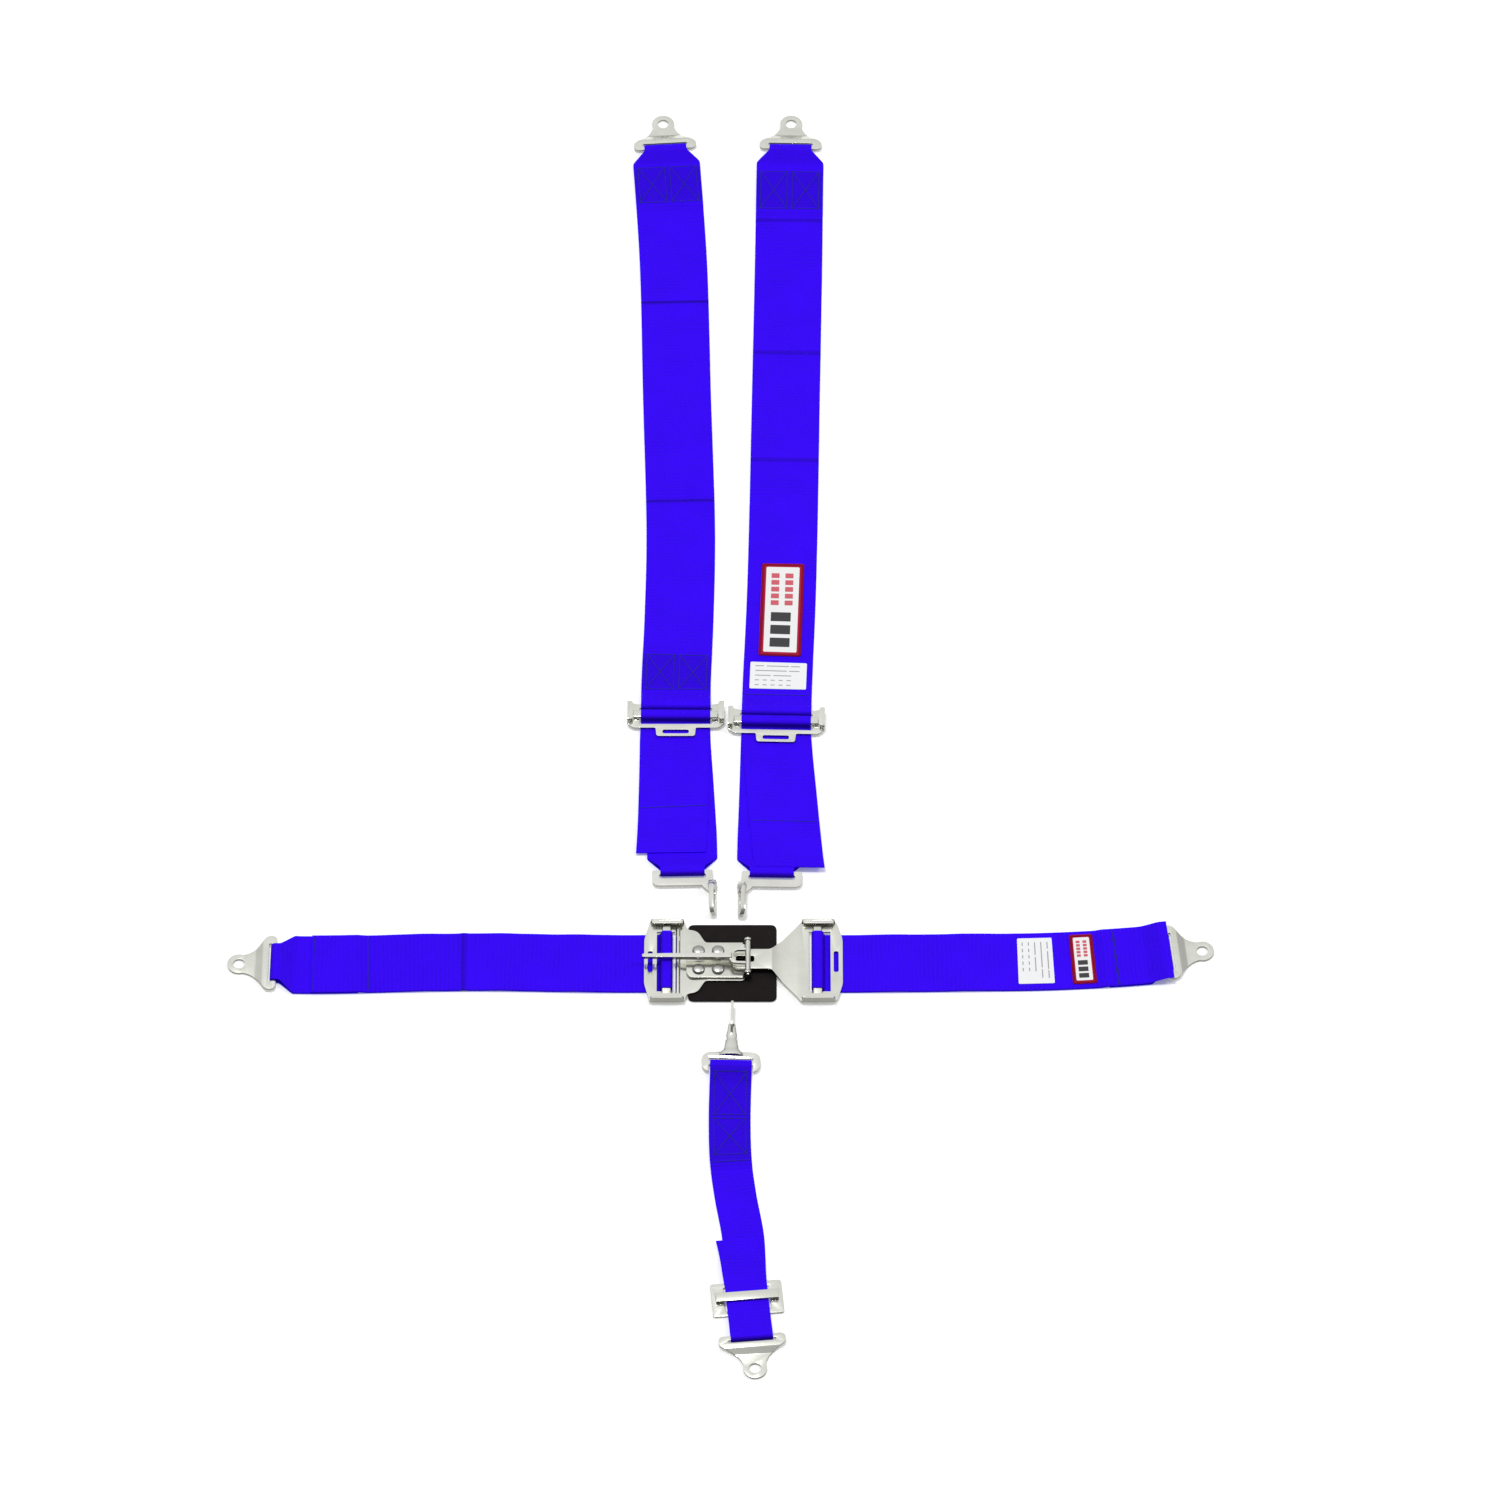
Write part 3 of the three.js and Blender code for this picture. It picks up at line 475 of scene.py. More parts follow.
# Webbing up, over an adjuster's loose bar and back down onto itself.
def slideTurn(centre, way):
    flat = (webSet["slideWide"] - webSet["slideThick"]) / 2
    far, near = (centre + sign * way * (flat + wrapRadius) for sign in (1, -1))
    rise, loop, high = webSet["slideRise"], webSet["loop"], webSet["slideHeight"]

    def facing(angle):
        return angle if way > 0 else 180 - angle

    return [
        *arc(far - way * rise, floorLayer + rise, rise, facing(-90), facing(0), wide),
        *arc(centre + way * flat, high, wrapRadius, facing(0), facing(90), wide),
        *arc(centre - way * flat, high, wrapRadius, facing(90), facing(180), wide),
        *arc(near - way * loop, floorLayer + layerStep + loop, loop, facing(0), facing(-90), wide),
    ]


# Stations at an even pace along the webbing, eased a little where it bends and thinned where it lies flat.
paceSet = {"even": 1.0, "flat": 3.0, "bent": 0.9, "leastBend": 0.004, "easings": 3}


def paced(stations):
    rows = np.array(stations, float)
    along = np.concatenate([[0], np.cumsum(np.hypot(*np.diff(rows[:, :2], axis=0).T))])
    even = np.linspace(0, along[-1], int(along[-1] / paceSet["even"]) + 1)
    rows = np.stack([np.interp(even, along, rows[:, k]) for k in range(4)], axis=1)
    for _ in range(paceSet["easings"]):
        rows[1:-1] = 0.5 * rows[1:-1] + 0.25 * (rows[:-2] + rows[2:])
    kept, last = [0], 0.0
    for i in range(1, len(rows) - 1):
        bent = np.abs(rows[i + 1] - 2 * rows[i] + rows[i - 1]).max() > paceSet["leastBend"]
        if even[i] - last >= (paceSet["bent"] if bent else paceSet["flat"]):
            kept.append(i)
            last = even[i]
    kept.append(len(rows) - 1)
    return rows[kept], even[kept]


def strapHeight(rows, distance, spread):
    near = rows[np.abs(rows[:, 0] - distance) < spread]
    return float(near[:, 1].max()) + webSet["thick"] / 2


def hump(distance, places, width):
    return max((math.exp(-((distance - place) / width) ** 2) for place in places), default=0.0)


# Sewn stretches are darker, fading in over a few millimetres at their ends.
def sewnShade(distance, sewn):
    inside = (min(distance - start, end - distance) for start, end in sewn)
    shades = (min(1.0, max(0.0, depth / webSet["sewnFade"] + 0.5)) for depth in inside)
    return max((webSet["sewnTone"] * shade for shade in shades), default=0.0)


# Faces of a flat closed section carried along the rows, with a cap at each end.
def sectionFaces(rowCount, columnCount):
    ring = 2 * columnCount
    faces = []
    for i in range(rowCount - 1):
        for k in range(ring):
            a, b = i * ring + k, i * ring + (k + 1) % ring
            faces.append((a, b, b + ring, a + ring))
    last = (rowCount - 1) * ring
    for k in range(columnCount - 1):
        faces.append((ring - 1 - k, ring - 2 - k, k + 1, k))
        faces.append((last + k, last + k + 1, last + ring - 2 - k, last + ring - 1 - k))
    return faces


# A strap of webbing. Creases are distances along the course where it was folded flat in its packing;
# each fold is raised a little and darkened with painted shade, and sewn stretches are darker.
def strapPiece(name, node, way, stations, creases=(), sewn=(), lift=None):
    rows, along = paced(stations)
    half = webSet["thick"] / 2
    share = np.linspace(-1, 1, webSet["columns"] + 1)
    share = np.sign(share) * (1 - (1 - np.abs(share)) ** webSet["columnEase"])
    points, maps, marks = [], [], []
    for i, (distance, height, side, width) in enumerate(rows):
        back, on = rows[max(i - 1, 0)], rows[min(i + 1, len(rows) - 1)]
        run, climb = on[0] - back[0], on[1] - back[1]
        size = math.hypot(run, climb)
        run, climb = run / size, climb / size
        raised = lift(distance) if lift else 0.0
        raised += webSet["ridge"] * hump(distance, creases, webSet["ridgeWide"])
        # Painted shade across each packing fold.
        folded = hump(distance, creases, webSet["foldShadeWide"])
        # Painted shade where the webbing climbs or drops round a bar, growing with its slope.
        turnShade = webSet["turnShadeStrength"] * abs(climb) ** webSet["turnPower"]
        mark = max(folded, sewnShade(distance, sewn), turnShade)
        for face in (1, -1):
            for s in share if face > 0 else share[::-1]:
                edge = min(1.0, (1 - abs(s)) * width / 2 / webSet["selvedge"])
                bulge = webSet["edgeShare"] + (1 - webSet["edgeShare"]) * math.sqrt(1 - (1 - edge) ** 2)
                reach = face * half * bulge
                across = side + s * width / 2
                x, y = besideCourse(way, distance - climb * reach, across)
                points.append((x * mm, y * mm, (height + raised + run * reach) * mm))
                maps.append((across * mm, along[i] * mm))
                marks.append(mark)
    piece = meshPiece(name, points, sectionFaces(len(rows), len(share)), finishes["webbing"])
    facesOutward(piece.data)
    uvLayer = piece.data.uv_layers.new(name="strapMap")
    for loop in piece.data.loops:
        uvLayer.data[loop.index].uv = maps[loop.vertex_index]
    shadeAndSewnMark = piece.data.attributes.new("shadeAndSewnMark", "FLOAT", "POINT")
    shadeAndSewnMark.data.foreach_set("value", marks)
    smooth(piece, 50)
    dress(piece, node)
    print(name, "made,", round(float(along[-1])), "mm of webbing")
    return rows


# Stitches lie along a path as small stretched beads of thread.
stitchSet = {"pitch": 2.9, "length": 2.5, "thread": 1.1, "segments": 8, "rings": 5, "smooth": 60}


def stitchTree():
    tree = bpy.data.node_groups.new("stitchRows", "GeometryNodeTree")
    given, out = addSockets(tree, [
        ("Geometry", "NodeSocketGeometry", None), ("Pitch", "NodeSocketFloat", stitchSet["pitch"] * mm),
        ("Length", "NodeSocketFloat", stitchSet["length"] * mm),
        ("Thread", "NodeSocketFloat", stitchSet["thread"] * mm), ("Finish", "NodeSocketMaterial", None),
    ], [("Geometry", "NodeSocketGeometry")])
    link = tree.links.new
    path = addNode(tree, "GeometryNodeMeshToCurve")
    link(given.outputs["Geometry"], path.inputs[0])
    resample = addNode(tree, "GeometryNodeResampleCurve", mode="LENGTH")
    link(path.outputs[0], resample.inputs["Curve"])
    link(given.outputs["Pitch"], resample.inputs["Length"])
    bead = {"Segments": stitchSet["segments"], "Rings": stitchSet["rings"], "Radius": 0.5}
    thread = addNode(tree, "GeometryNodeMeshUVSphere", bead)
    size = addNode(tree, "ShaderNodeCombineXYZ")
    for socket, label in zip(size.inputs, ("Thread", "Thread", "Length")):
        link(given.outputs[label], socket)
    stretch = addNode(tree, "GeometryNodeTransform")
    link(thread.outputs["Mesh"], stretch.inputs["Geometry"])
    link(size.outputs[0], stretch.inputs["Scale"])
    tangent = addNode(tree, "GeometryNodeInputTangent")
    turn = addNode(tree, "FunctionNodeAlignEulerToVector", axis="Z")
    link(tangent.outputs[0], turn.inputs["Vector"])
    place = addNode(tree, "GeometryNodeInstanceOnPoints")
    link(resample.outputs[0], place.inputs["Points"])
    link(stretch.outputs[0], place.inputs["Instance"])
    link(turn.outputs[0], place.inputs["Rotation"])
    whole = addNode(tree, "GeometryNodeRealizeInstances")
    link(place.outputs[0], whole.inputs[0])
    finish = addNode(tree, "GeometryNodeSetMaterial")
    link(whole.outputs[0], finish.inputs["Geometry"])
    link(given.outputs["Finish"], finish.inputs["Material"])
    link(finish.outputs[0], out.inputs[0])
    return tree


stitchNodes = stitchTree()
stitchInputs = {s.name: s.identifier for s in stitchNodes.interface.items_tree if s.in_out == "INPUT"}


# Rows of stitches along polylines of points in metres. The sizes given are in millimetres.
def stitchPiece(name, node, paths, finish="thread", pitch=stitchSet["pitch"], length=stitchSet["length"],
                thread=stitchSet["thread"]):
    points, edges = [], []
    for path in paths:
        start = len(points)
        points += path
        edges += [(start + i, start + i + 1) for i in range(len(path) - 1)]
    mesh = bpy.data.meshes.new(name)
    mesh.from_pydata(points, edges, [])
    piece = newObject(name, mesh)
    rows = piece.modifiers.new("rows", "NODES")
    rows.node_group = stitchNodes
    sizes = {"Pitch": pitch * mm, "Length": length * mm, "Thread": thread * mm, "Finish": finishes[finish]}
    for label, value in sizes.items():
        rows[stitchInputs[label]] = value
    bake(piece)
    smooth(piece, stitchSet["smooth"])
    dress(piece, node, stands=False)


# A polyline over a strap's upper face between points of distance and offset.
def overStrap(way, rows, spots, rise=0.12, spacing=2.0, spread=1.6):
    path = []
    for (s0, d0), (s1, d1) in zip(spots, spots[1:]):
        parts = max(1, int(math.hypot(s1 - s0, d1 - d0) / spacing))
        for k in range(parts + ((s1, d1) == spots[-1])):
            s, d = s0 + (s1 - s0) * k / parts, d0 + (d1 - d0) * k / parts
            x, y = besideCourse(way, s, d)
            path.append((x * mm, y * mm, (strapHeight(rows, s, spread) + rise) * mm))
    return path


# Seams are lists of distance and offset. Wide webbing has two crossed boxes side by side.
seamSet = {"edge": 34.0, "boxOuter": 33, "boxInner": 3}


def seamAcross(distance, half=seamSet["edge"], middle=0):
    return [(distance, middle - half), (distance, middle + half)]


def boxCross(start, end, left, right):
    return [[(start, left), (end, left), (end, right), (start, right), (start, left)],
            [(start, left), (end, right)], [(start, right), (end, left)]]


def twinBoxes(start, end):
    outer, inner = seamSet["boxOuter"], seamSet["boxInner"]
    return boxCross(start, end, -outer, -inner) + boxCross(start, end, inner, outer)


# A close zigzag seam right across a strap.
def zigzag(distance, low, high, reach=1.5, step=1.3):
    count = int((high - low) / step)
    return [(distance + (reach if k % 2 else -reach), low + k * step) for k in range(count + 1)]


# Webbing that doesn't lie quite flat: a few low waves between two distances.
def easyLift(start, end, size, waves):
    def lift(distance):
        share = (distance - start) / (end - start)
        if not 0 < share < 1:
            return 0.0
        ripple = sum(a * (1 - math.cos(2 * math.pi * n * share)) / 2 for n, a in waves)
        return size * ripple * min(1.0, 6 * share, 6 * (1 - share))
    return lift


# The lap belt. Tails are pairs of distance and layer, from the course's start on the left and from its
# end on the right, where the tail runs on over the sewn loop.
lapSet = {
    "left": [(-480.5, -337), (-430, -337.6), (-270, -334), (-130, -336), (-58.5, -336.0)],
    "right": [(104.0, -336.0), (150, -336), (271, -334.5), (351, -333), (425, -328.5), (480.5, -323)],
    "sewnLeft": 90, "sewnRight": 66, "creaseLeft": 204,
    "tailLeft": ((130, 1), (100, 1), (90, 2), (40, 2)), "tailRight": ((86, 1), (76, 1), (68, 2), (26, 2)),
    "climb": 21, "over": 5, "past": 3, "seamsLeft": (101, 42.5), "zigzagRight": 56, "zigzagHalf": 37,
    "wavesFrom": 105, "wavesShort": 40, "wavesLeft": (1.1, ((3, 0.7), (7, 0.3))),
    "wavesRight": (35, 205, 1.0, ((2, 0.8), (5, 0.2))),
}
lapLeft, lapRight = course(lapSet["left"]), course(lapSet["right"])
leftEnd, rightEnd = lapLeft["length"], lapRight["length"]
overLoop = barHeight + webSet["loop"] + layerStep
leftStations = [
    *sewnEnd(0, -1, lapSet["sewnLeft"]), *slideTurn(leftEnd, 1),
    *[[distance, layers[level], 0, wide] for distance, level in lapSet["tailLeft"]],
]
leftLift = easyLift(lapSet["wavesFrom"], leftEnd - lapSet["wavesShort"], *lapSet["wavesLeft"])
lapLeftRows = strapPiece("webbing_lap_left", "lap_strap_left", lapLeft, leftStations,
                         creases=(lapSet["creaseLeft"],), lift=leftLift)
rightStations = [
    *sewnEnd(rightEnd, 1, lapSet["sewnRight"]), *slideTurn(0, -1),
    *[[rightEnd - distance, layers[level], 0, wide] for distance, level in lapSet["tailRight"]],
    [rightEnd - lapSet["climb"], layers[2] + 1, 0, wide],
    [rightEnd - lapSet["over"], overLoop, 0, wide], [rightEnd + lapSet["past"], overLoop, 0, wide],
]
lapRightRows = strapPiece("webbing_lap_right", "lap_strap_right", lapRight, rightStations,
                          lift=easyLift(*lapSet["wavesRight"]))
stitchPiece("stitches_lap_left", "lap_strap_left",
            [overStrap(lapLeft, lapLeftRows, seamAcross(s)) for s in lapSet["seamsLeft"]])
zigzagSeam = zigzag(rightEnd - lapSet["zigzagRight"], -lapSet["zigzagHalf"], lapSet["zigzagHalf"])
stitchPiece("stitches_lap_right", "lap_strap_right",
            [overStrap(lapRight, lapRightRows, zigzagSeam, spacing=3.0)])

# The shoulder belts. The left one has crossed boxes at its lower end, and the right one a single seam.
shoulderSet = {
    "left": {
        "upper": [(-50, 13.5), (-49.8, 50), (-47, 140), (-45.5, 257), (-50.5, 457), (-55.5, 657),
                  (-63, 790), (-65.5, 826.5)],
        "lower": [(-50, 13.5), (-50, -25), (-46.5, -90), (-43, -160), (-41.8, -214.6)],
        "sewnTop": 82, "sewnBottom": 78, "tailEnd": 200.5, "tailSide": -12, "hem": 136.5,
        "creases": (584, 294), "boxTop": (28, 80), "boxBottom": (26, 74),
    },
    "right": {
        "upper": [(60.3, 5.5), (61.3, 45), (65.5, 157), (68, 257), (71.5, 457), (75, 657),
                  (76.8, 790), (77.6, 826.5)],
        "lower": [(60.3, 5.5), (59.4, -33), (57.5, -110), (55.8, -170), (55, -216.6)],
        "sewnTop": 92, "sewnBottom": 70, "tailEnd": 215, "tailSide": 19, "hem": 148.5,
        "creases": (715, 517, 361), "boxTop": (35, 90), "seamBottom": 26,
    },
}
upperWaves = {"afterSewn": 130, "beforeEnd": 110, "size": 1.3, "waves": ((4, 0.6), (9, 0.4))}
# Distances along a lower strap. Hook rise and hook clear count back from its hook, and curl is a height.
lowerSet = {"slide": 13.2, "sewnHook": 60, "tailFrom": 60, "hookRise": 68, "ramp": 8, "hookClear": 26,
            "curl": 4, "leanFrom": 30}
upperWays, upperRows = {}, {}


def shoulderBelt(side, belt):
    way = course(belt["upper"])
    end = way["length"]
    stations = [*sewnEnd(end, 1, belt["sewnTop"]), *sewnEnd(0, -1, belt["sewnBottom"], wide)[::-1]]
    boxes = [(end - belt["boxTop"][1], end - belt["boxTop"][0])]
    if "boxBottom" in belt:
        boxes.append(belt["boxBottom"])
    lift = easyLift(belt["sewnBottom"] + upperWaves["afterSewn"], end - upperWaves["beforeEnd"],
                    upperWaves["size"], upperWaves["waves"])
    rows = strapPiece(f"webbing_shoulder_{side}", f"shoulder_strap_{side}", way, stations,
                      creases=belt["creases"], sewn=boxes, lift=lift)
    seams = [seam for box in boxes for seam in twinBoxes(*box)]
    if "seamBottom" in belt:
        seams.append(seamAcross(belt["seamBottom"]))
    paths = [overStrap(way, rows, seam) for seam in seams]
    stitchPiece(f"stitches_shoulder_{side}", f"shoulder_strap_{side}", paths)
    upperWays[side], upperRows[side] = way, rows


# The tail lies on the lower strap and leans to one side. A long one ends above the sewn hook loop.
def lowerStrap(side, belt):
    way = course(belt["lower"])
    hook = way["length"]
    rise, clear = hook - lowerSet["hookRise"], hook - lowerSet["hookClear"]

    def lean(distance):
        return belt["tailSide"] * (distance - lowerSet["leanFrom"]) / (belt["tailEnd"] - lowerSet["leanFrom"])

    tail = [(lowerSet["tailFrom"], layers[1]), (rise - lowerSet["ramp"], layers[1]), (rise, layers[2])]
    if belt["tailEnd"] > clear:
        tail += [(clear, layers[2]), (belt["tailEnd"], layers[2] + lowerSet["curl"])]
    else:
        tail.append((belt["tailEnd"], layers[2]))
    stations = [*sewnEnd(hook, 1, lowerSet["sewnHook"]), *slideTurn(lowerSet["slide"], -1),
                *[[s, height, lean(s), wide] for s, height in tail]]
    rows = strapPiece(f"webbing_lower_{side}", f"lower_strap_{side}", way, stations)
    hem = seamAcross(belt["hem"], middle=lean(belt["hem"]))
    stitchPiece(f"stitches_lower_{side}", f"lower_strap_{side}", [overStrap(way, rows, hem)])


for side, belt in shoulderSet.items():
    shoulderBelt(side, belt)
    lowerStrap(side, belt)

# The sub strap goes over its slide's bars, round its bracket and back. Distances in before, after and
# the tail are from the slide's place, and each tail point's last value is its offset.
subSet = {
    "points": [(11, -471.4), (9.6, -546), (11, -598), (16, -643), (24, -696), (26.5, -753), (33.2, -826.8)],
    "slideFromEnd": 51.5, "slideBase": 2.4, "before": (-56, -44), "after": (34, 43), "sewn": 126,
    "tailOver": ((34, 0), (-12, 0), (-44, -3)), "tailFlat": ((-57, -4.5), (-76, -7)),
    "sewnStretch": (4, 128), "boxes": ((12, 66), (71, 118)), "boxHalf": 17, "hem": 127, "hemHalf": 19,
}
sub = course(subSet["points"])
slideAt = sub["length"] - subSet["slideFromEnd"]
overBar = subSet["slideBase"] + webSet["gap"] + floorLayer
before, after = subSet["before"], subSet["after"]
stations = [
    *sewnEnd(0, -1, subSet["sewn"], narrow, narrow),
    [slideAt + before[0], layers[0], 0, narrow], [slideAt + before[1], overBar, 0, narrow],
    [slideAt + after[0], overBar, 0, narrow], [slideAt + after[1], layers[0], 0, narrow],
    *arc(sub["length"], barHeight, webSet["loop"], -90, 90, narrow),
    *[[slideAt + s, overBar + layerStep, offset, narrow] for s, offset in subSet["tailOver"]],
    *[[slideAt + s, layers[1], offset, narrow] for s, offset in subSet["tailFlat"]],
]
rows = strapPiece("webbing_sub", "sub_strap", sub, stations, sewn=[subSet["sewnStretch"]])
seams = [seam for box in subSet["boxes"] for seam in boxCross(*box, -subSet["boxHalf"], subSet["boxHalf"])]
seams.append(seamAcross(subSet["hem"], subSet["hemHalf"]))
stitchPiece("stitches_sub", "sub_strap", [overStrap(sub, rows, s) for s in seams])
print("straps and stitching made")

# Pressed steel pieces are the CAD part's own shapes with rounded edges. Angles are in degrees,
# and the merging distance is in metres.
metalSet = {"merge": 0.00003, "flatAngle": 0.6, "edgeAngle": 42, "edge": 0.45, "steps": 3, "smooth": 32}
edgeWidths = {
    "latch_lever": 1.7, "latch_pivot_pin": 0.4, "sub_fitting": 0.9, "latch_frame": 0.6, "link_plate": 0.6,
    "latch_slide_bar": 0.2, "link_slide_bar": 0.2,
    **{f"shoulder_hook_{side}": 1.2 for side in shoulderSet},
    **{f"adjuster_frame_{side}": 0.6 for side in shoulderSet},
    **{f"adjuster_slide_bar_{side}": 0.2 for side in shoulderSet},
}
pieceFinish = {
    "latch_lever": "brightSteel", "latch_pivot_pin": "brightSteel", "sub_fitting": "brightSteel",
    **{f"shoulder_hook_{side}": "brightSteel" for side in shoulderSet},
    **{f"latch_rivet_{k}": "rivetSteel" for k in (1, 2, 3, 4)},
}


# A copy of a CAD mesh with its doubles merged and its flat faces joined, open for more work.
def cleanCopy(node, name, finish):
    mesh = frame["nodes"][node].data.copy()
    mesh.name = name
    mesh.materials.clear()
    mesh.materials.append(finishes[finish])
    work = bmesh.new()
    work.from_mesh(mesh)
    bmesh.ops.remove_doubles(work, verts=work.verts, dist=metalSet["merge"])
    bmesh.ops.dissolve_limit(work, angle_limit=math.radians(metalSet["flatAngle"]),
                             verts=work.verts, edges=work.edges)
    bmesh.ops.recalc_face_normals(work, faces=work.faces)
    return mesh, work


def refined(node):
    name = node + "_metal"
    mesh, work = cleanCopy(node, name, pieceFinish.get(node, "steel"))
    work.to_mesh(mesh)
    work.free()
    piece = newObject(name, mesh)
    edge = piece.modifiers.new("edge", "BEVEL")
    edge.width = edgeWidths.get(node, metalSet["edge"]) * mm
    edge.segments = metalSet["steps"]
    edge.limit_method = "ANGLE"
    edge.angle_limit = math.radians(metalSet["edgeAngle"])
    edge.use_clamp_overlap = True
    bake(piece)
    smooth(piece, metalSet["smooth"])
    dress(piece, node)


metalNodes = [node for node in frame["nodes"] if slotOf[node] == "steel"]
for node in metalNodes:
    refined(node)
print("metal refined:", len(metalNodes))

# The felt pad keeps its CAD outline, with a softly rounded rim.
padSet = {"edge": 1.4, "segments": 4, "rimAngle": 60, "smooth": 40}


def feltPad():
    mesh, work = cleanCopy("latch_pad", "felt_pad", "felt")
    rim = [e for e in work.edges if e.calc_face_angle(0) > math.radians(padSet["rimAngle"])]
    bmesh.ops.bevel(work, geom=rim, offset=padSet["edge"] * mm, segments=padSet["segments"], profile=0.5,
                    affect="EDGES", clamp_overlap=True)
    work.to_mesh(mesh)
    work.free()
    piece = newObject("felt_pad", mesh)
    smooth(piece, padSet["smooth"])
    dress(piece, "latch_pad")


feltPad()
print("felt pad made")


# Thin sheets of cloth on a strap, with rounded corners. A span is (start, end, low offset, high offset).
def tabPiece(name, node, way, rows, spans, finish, corner, base, thick, stands=False, spread=2.2):
    points, faces = [], []
    for start, end, left, right in spans:
        outline = []
        for s, d, angle in ((start, left, 180), (end, left, 270), (end, right, 0), (start, right, 90)):
            inS, inD = (corner if s == start else -corner), (corner if d == left else -corner)
            for a in np.radians(np.linspace(angle, angle + 90, 5)):
                outline.append((s + inS + corner * math.cos(a), d + inD + corner * math.sin(a)))
        first = len(points)
        for level in (0, 1):
            for s, d in outline:
                x, y = besideCourse(way, s, d)
                height = strapHeight(rows, s, spread) + base + level * thick
                points.append((x * mm, y * mm, height * mm))
        count = len(outline)
        faces.append(tuple(range(first + count - 1, first - 1, -1)))
        faces.append(tuple(range(first + count, first + 2 * count)))
        for k in range(count):
            n = (k + 1) % count
            faces.append((first + k, first + n, first + count + n, first + count + k))
    piece = meshPiece(name, points, faces, finishes[finish])
    smooth(piece, 30)
    facesOutward(piece.data)
    dress(piece, node, stands)


# A white label. Its print is rows of plain bars, each given as the bar's length and the gap after it.
labelSet = {
    "cloth": {"corner": 1.5, "base": 0.15, "thick": 0.45},
    "print": {"corner": 0.3, "base": 0.62, "thick": 0.12},
    "margin": 2, "barHalf": 0.55, "firstBar": 0.06,
    "lines": [[(0.16, 0.06), (0.42, 0.03), (0.18, 0)], [(0.60, 0.04), (0.20, 0)], [(0.30, 0.05), (0.34, 0)],
              [(0.08, 0.07)] * 5, [(0.08, 0.07)] * 5],
}


def printedBars(start, end, left, right):
    bars, lines, half = [], labelSet["lines"], labelSet["barHalf"]
    for row, lengths in enumerate(lines):
        s = end - (row + 0.5) / len(lines) * (end - start)
        at = labelSet["firstBar"]
        for length, gap in lengths:
            low, high = right - (right - left) * (at + length), right - (right - left) * at
            bars.append((s - half, s + half, low, high))
            at += length + gap
    return bars


def labelWithPrint(name, node, way, rows, span):
    start, end, left, right = span
    margin = labelSet["margin"]
    bars = printedBars(start + margin, end - margin, left + margin, right - margin)
    tabPiece(name, node, way, rows, [span], "labelCloth", stands=True, **labelSet["cloth"])
    tabPiece(name + "_print", node, way, rows, bars, "labelInk", **labelSet["print"])


# A patch with a stitched border and plain bars on a white field. The bars' places are shares of the field.
patchSet = {
    "backing": {"corner": 3.0, "base": 0.12, "thick": 0.7},
    "field": {"corner": 1.5, "base": 0.86, "thick": 0.25},
    "darkBars": {"corner": 0.5, "base": 1.13, "thick": 0.2},
    "redBars": {"corner": 0.4, "base": 1.13, "thick": 0.2},
    "dark": [(a, a + 0.105, 0.18, 0.78) for a in (0.06, 0.21, 0.36)],
    "red": [(a, a + 0.055, b, b + 0.24) for b in (0.16, 0.58) for a in (0.55, 0.63, 0.71, 0.79, 0.87)],
    "borderIn": 1.6, "borderRise": 0.85, "borderThread": {"pitch": 1.1, "length": 1.0, "thread": 3.2},
}


def patchWithBorder(name, node, way, rows, span, inset, lengthwise):
    start, end, left, right = span
    f0, f1, g0, g1 = start + inset, end - inset, left + inset, right - inset
    ds, dd = f1 - f0, g1 - g0

    def onField(a0, a1, b0, b1):
        if lengthwise:
            return (f0 + a0 * ds, f0 + a1 * ds, g1 - b1 * dd, g1 - b0 * dd)
        return (f0 + b0 * ds, f0 + b1 * ds, g0 + a0 * dd, g0 + a1 * dd)

    def tab(ending, spans, finish, key, stands=False):
        tabPiece(name + ending, node, way, rows, spans, finish, stands=stands, **patchSet[key])

    tab("", [span], "patchRed", "backing", stands=True)
    tab("_field", [(f0, f1, g0, g1)], "patchWhite", "field")
    tab("_dark_bars", [onField(*bar) for bar in patchSet["dark"]], "patchDark", "darkBars")
    tab("_red_bars", [onField(*bar) for bar in patchSet["red"]], "patchPink", "redBars")
    near, far = start + patchSet["borderIn"], end - patchSet["borderIn"]
    low, high = left + patchSet["borderIn"], right - patchSet["borderIn"]
    ring = [(near, low), (far, low), (far, high), (near, high), (near, low)]
    border = [overStrap(way, rows, ring, rise=patchSet["borderRise"])]
    stitchPiece(name + "_border", node, border, "patchRed", **patchSet["borderThread"])


rightBelt = upperWays["right"], upperRows["right"]
labelWithPrint("lap_label_cloth", "lap_label", lapRight, lapRightRows, (215.5, 253.5, -30.5, 30.5))
patchWithBorder("lap_patch_cloth", "lap_patch", lapRight, lapRightRows, (272.5, 298.5, -33, 33), 4.2, False)
labelWithPrint("shoulder_label_cloth", "shoulder_label", *rightBelt, (34, 71, -31.5, 30.5))
patchWithBorder("shoulder_patch_cloth", "shoulder_patch", *rightBelt, (81.5, 212, -24.5, 22.5), 5.2, True)
print("labels and patches made")

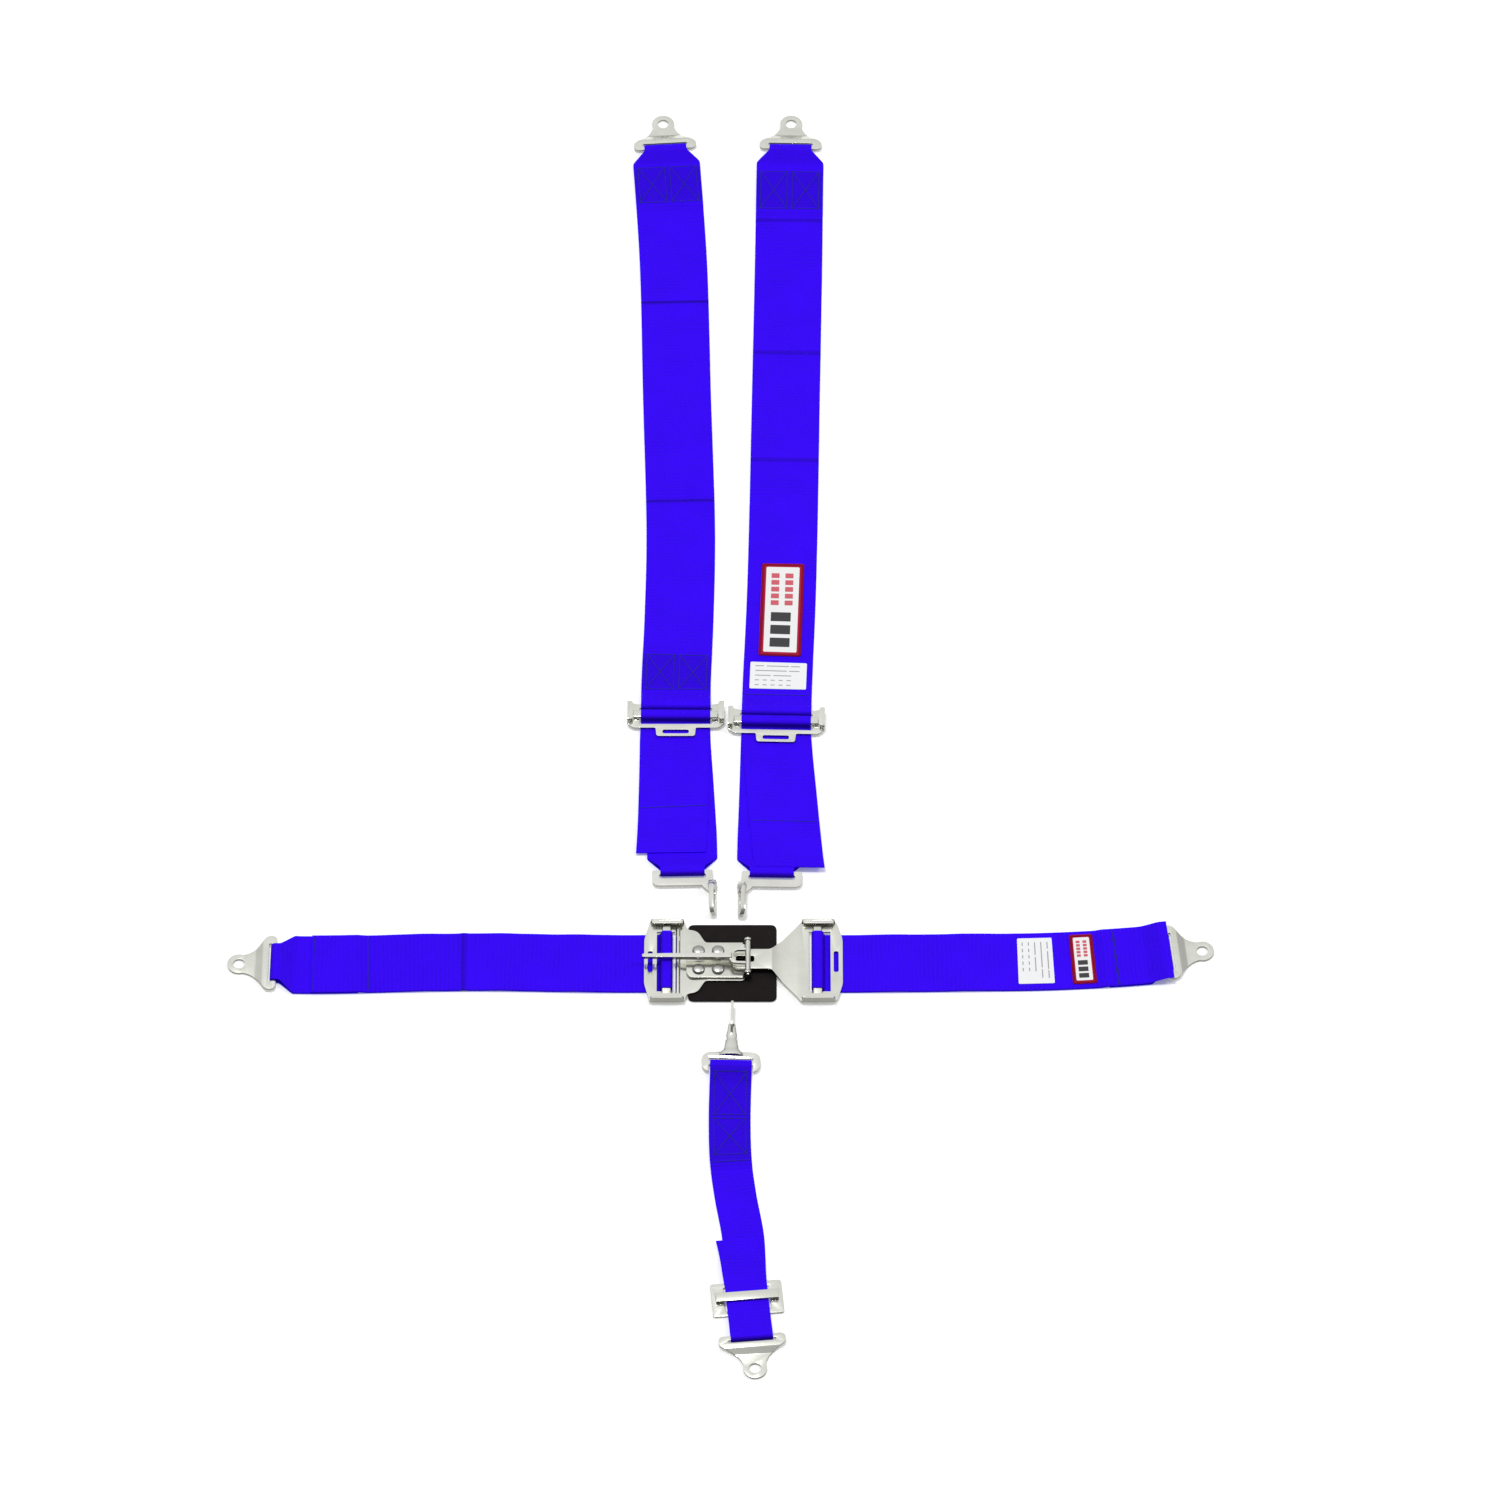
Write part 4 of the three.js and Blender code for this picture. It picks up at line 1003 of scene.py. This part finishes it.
# The room, in metres. World tones go from the dark side to the bright one.
roomSet = {
    "floor": (0.93, 0.93, 0.93, 1), "glow": 0.20, "half": 14.0, "below": 0.0002, "rough": 0.9, "gloss": 0.1,
    "worldSide": (-0.12, 0.56, 0.82),
    "worldTones": ((0.0, 0.11), (0.35, 0.14), (0.70, 0.24), (0.90, 0.62), (1.0, 0.78)),
}
lightSet = {
    "keyLight": {"place": (-0.9, 0.2, 7.0), "size": 1.8, "power": 230.0},
    "fillLight": {"place": (4.2, 0.4, 4.4), "size": 1.2, "power": 70.0},
}


def plainFloor():
    material, tree, shader = newMaterial("paleFloor")
    setInputs(shader, {
        "Base Color": roomSet["floor"], "Roughness": roomSet["rough"], "Specular IOR Level": roomSet["gloss"],
        "Emission Color": roomSet["floor"], "Emission Strength": roomSet["glow"],
    })
    half = roomSet["half"]
    corners = [(-half, -half, 0), (half, -half, 0), (half, half, 0), (-half, half, 0)]
    floor = meshPiece("floor", corners, [(0, 1, 2, 3)], material)
    floor.location.z = -roomSet["below"]


# A soft sky, brighter overhead and beyond the harness than on the near side.
def studioWorld():
    world = bpy.data.worlds.new("studio")
    world.use_nodes = True
    tree = world.node_tree
    place = addNode(tree, "ShaderNodeTexCoord")
    facing = addNode(tree, "ShaderNodeVectorMath", {1: roomSet["worldSide"]}, operation="DOT_PRODUCT")
    tree.links.new(place.outputs["Generated"], facing.inputs[0])
    share = mathNode(tree, "ADD", mathNode(tree, "MULTIPLY", facing.outputs["Value"], 0.5), 0.5)
    ramp = addNode(tree, "ShaderNodeValToRGB")
    stops = ramp.color_ramp.elements
    for at, _ in roomSet["worldTones"][2:]:
        stops.new(at)
    for stop, (at, tone) in zip(sorted(stops, key=lambda e: e.position), roomSet["worldTones"]):
        stop.position = at
        stop.color = (tone, tone * 1.01, tone, 1)
    tree.links.new(share, ramp.inputs[0])
    tree.links.new(ramp.outputs[0], tree.nodes["Background"].inputs[0])
    bpy.context.scene.world = world


def areaLight(name, place, size, power):
    data = bpy.data.lights.new(name, "AREA")
    data.shape = "DISK"
    data.size = size
    data.energy = power
    light = newObject(name, data)
    light.location = place
    light.rotation_euler = (aim - Vector(place)).to_track_quat("-Z", "Y").to_euler()


plainFloor()
studioWorld()
for name, settings in lightSet.items():
    areaLight(name, **settings)
bpy.context.scene.view_settings.view_transform = "Standard"
bpy.context.scene.view_settings.look = "None"
print("floor and light set")
